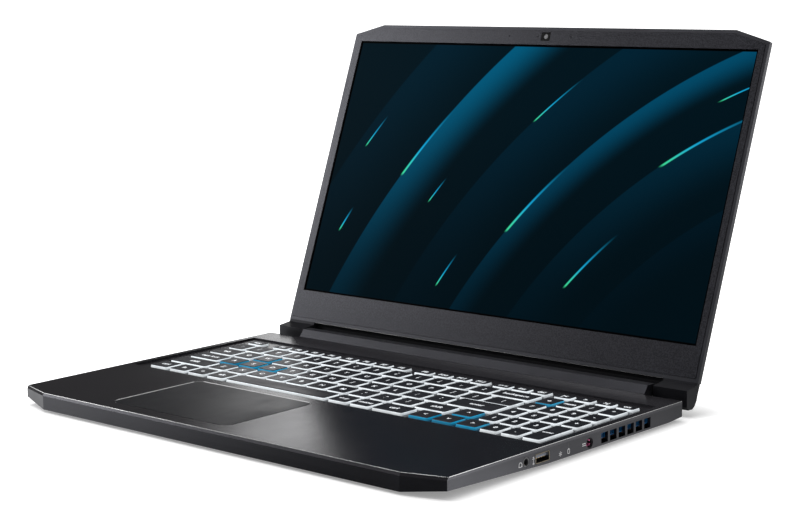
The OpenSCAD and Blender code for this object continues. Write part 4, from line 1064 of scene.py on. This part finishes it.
def make_paper():
    """White paper that keeps the shadow by the base and shows in reflections as bright and dark cards."""
    paper = bpy.data.materials.new("studio_paper")
    paper.use_nodes = True
    tree = paper.node_tree
    shader = tree.nodes["Principled BSDF"]
    place = add(tree, "ShaderNodeTexCoord").outputs["Object"]
    link(tree, blended(tree, noise(tree, place, 3.0), grey(0.80), grey(0.82)), shader, "Base Color")
    shader.inputs["Roughness"].default_value = 0.9
    shader.inputs["Specular IOR Level"].default_value = 0.1
    path = add(tree, "ShaderNodeLightPath").outputs
    x, y = add(tree, "ShaderNodeSeparateXYZ", None, Vector=place).outputs[:2]
    # as the camera sees it, the paper has painted light added, a little where it meets the base and more away
    # from it, which whitens the lid's shadow on it
    from_middle = sum_of(tree, "ABSOLUTE", sum_of(tree, "SUBTRACT", y, base_middle))
    away = sum_of(tree, "MAXIMUM", sum_of(tree, "SUBTRACT", sum_of(tree, "ABSOLUTE", x), right_x),
                  sum_of(tree, "SUBTRACT", from_middle, base_depth / 2))
    seen = product(tree, path["Is Camera Ray"], spread(tree, away, -0.01, 0.055, paper_by_base, paper_beyond))
    glow = add(tree, "ShaderNodeEmission", None, Strength=seen)
    lit = add(tree, "ShaderNodeAddShader", None, _0=shader.outputs[0], _1=glow.outputs[0])
    # in reflections it is bright at the left, beside the right front and far away at the right, and dark
    # before the right corner
    along = sum_of(tree, "ADD", spread(tree, y, -0.15, -0.03, side_front, 0.0),
                   spread(tree, y, -0.03, 0.14, side_middle, side_rear))
    beside = product(tree, spread(tree, x, 0.170, 0.190), spread(tree, y, -0.175, -0.150), along)
    far = spread(tree, x, 0.45, 1.3, 0.0, card_far)
    mirrored = sum_of(tree, "ADD", spread(tree, x, -0.30, 0.12, card_left, card_right),
                      sum_of(tree, "ADD", beside, far))
    card = add(tree, "ShaderNodeEmission", None, Strength=mirrored)
    both = add(tree, "ShaderNodeMixShader", None, _0=path["Is Glossy Ray"], _1=lit.outputs[0],
               _2=card.outputs[0])
    # seen from below, the paper is clear
    clear = add(tree, "ShaderNodeBsdfTransparent")
    below = add(tree, "ShaderNodeNewGeometry").outputs["Backfacing"]
    final = add(tree, "ShaderNodeMixShader", None, _0=below, _1=both.outputs[0], _2=clear.outputs[0])
    tree.links.new(final.outputs[0], tree.nodes["Material Output"].inputs["Surface"])
    return paper


def make_floor():
    deselect()
    bpy.ops.mesh.primitive_plane_add(size=1)
    floor = bpy.context.active_object
    floor.name = "studio_floor"
    floor.scale = (24, 24, 1)
    bpy.ops.object.transform_apply(location=True, rotation=True, scale=True)
    floor.data.materials.append(make_paper())


def make_air():
    """Even white light from all round, white to the camera and dim in reflections."""
    world = bpy.data.worlds.new("studio_air")
    bpy.context.scene.world = world
    world.use_nodes = True
    tree = world.node_tree
    path = add(tree, "ShaderNodeLightPath").outputs
    seen = sum_of(tree, "MAXIMUM", path["Is Camera Ray"], path["Is Transmission Ray"])
    plain = sum_of(tree, "MULTIPLY_ADD", path["Is Glossy Ray"], air_gloss - air_light, air_light)
    strength = sum_of(tree, "MAXIMUM", seen, plain)
    back = tree.nodes["Background"]
    back.inputs["Color"].default_value = (1, 1, 1, 1)
    tree.links.new(strength, back.inputs["Strength"])


def make_lamp(name, place, aim, size, power):
    """A softbox in metres and watts that the camera doesn't see."""
    light = bpy.data.lights.new(name, "AREA")
    light.shape = "RECTANGLE"
    light.size, light.size_y = size
    light.energy = power
    lamp = bpy.data.objects.new(name, light)
    bpy.context.scene.collection.objects.link(lamp)
    lamp.location = place
    lamp.rotation_mode = "QUATERNION"
    lamp.rotation_quaternion = (Vector(aim) - Vector(place)).to_track_quat("-Z", "Y")
    lamp.visible_camera = False


make_floor()
make_air()
make_lamp("top_softbox", (-0.5, -0.2, 2.1), (0, 0, 0), (1.6, 1.6), 30)
make_lamp("left_softbox", (-1.65, -0.78, 0.88), (0, 0.1, 0.1), (0.85, 0.7), 12.5)
make_lamp("rear_left_softbox", (-1.355, 1.606, 0.51), (-0.1, 0, 0), (0.70, 0.6), 2.3)
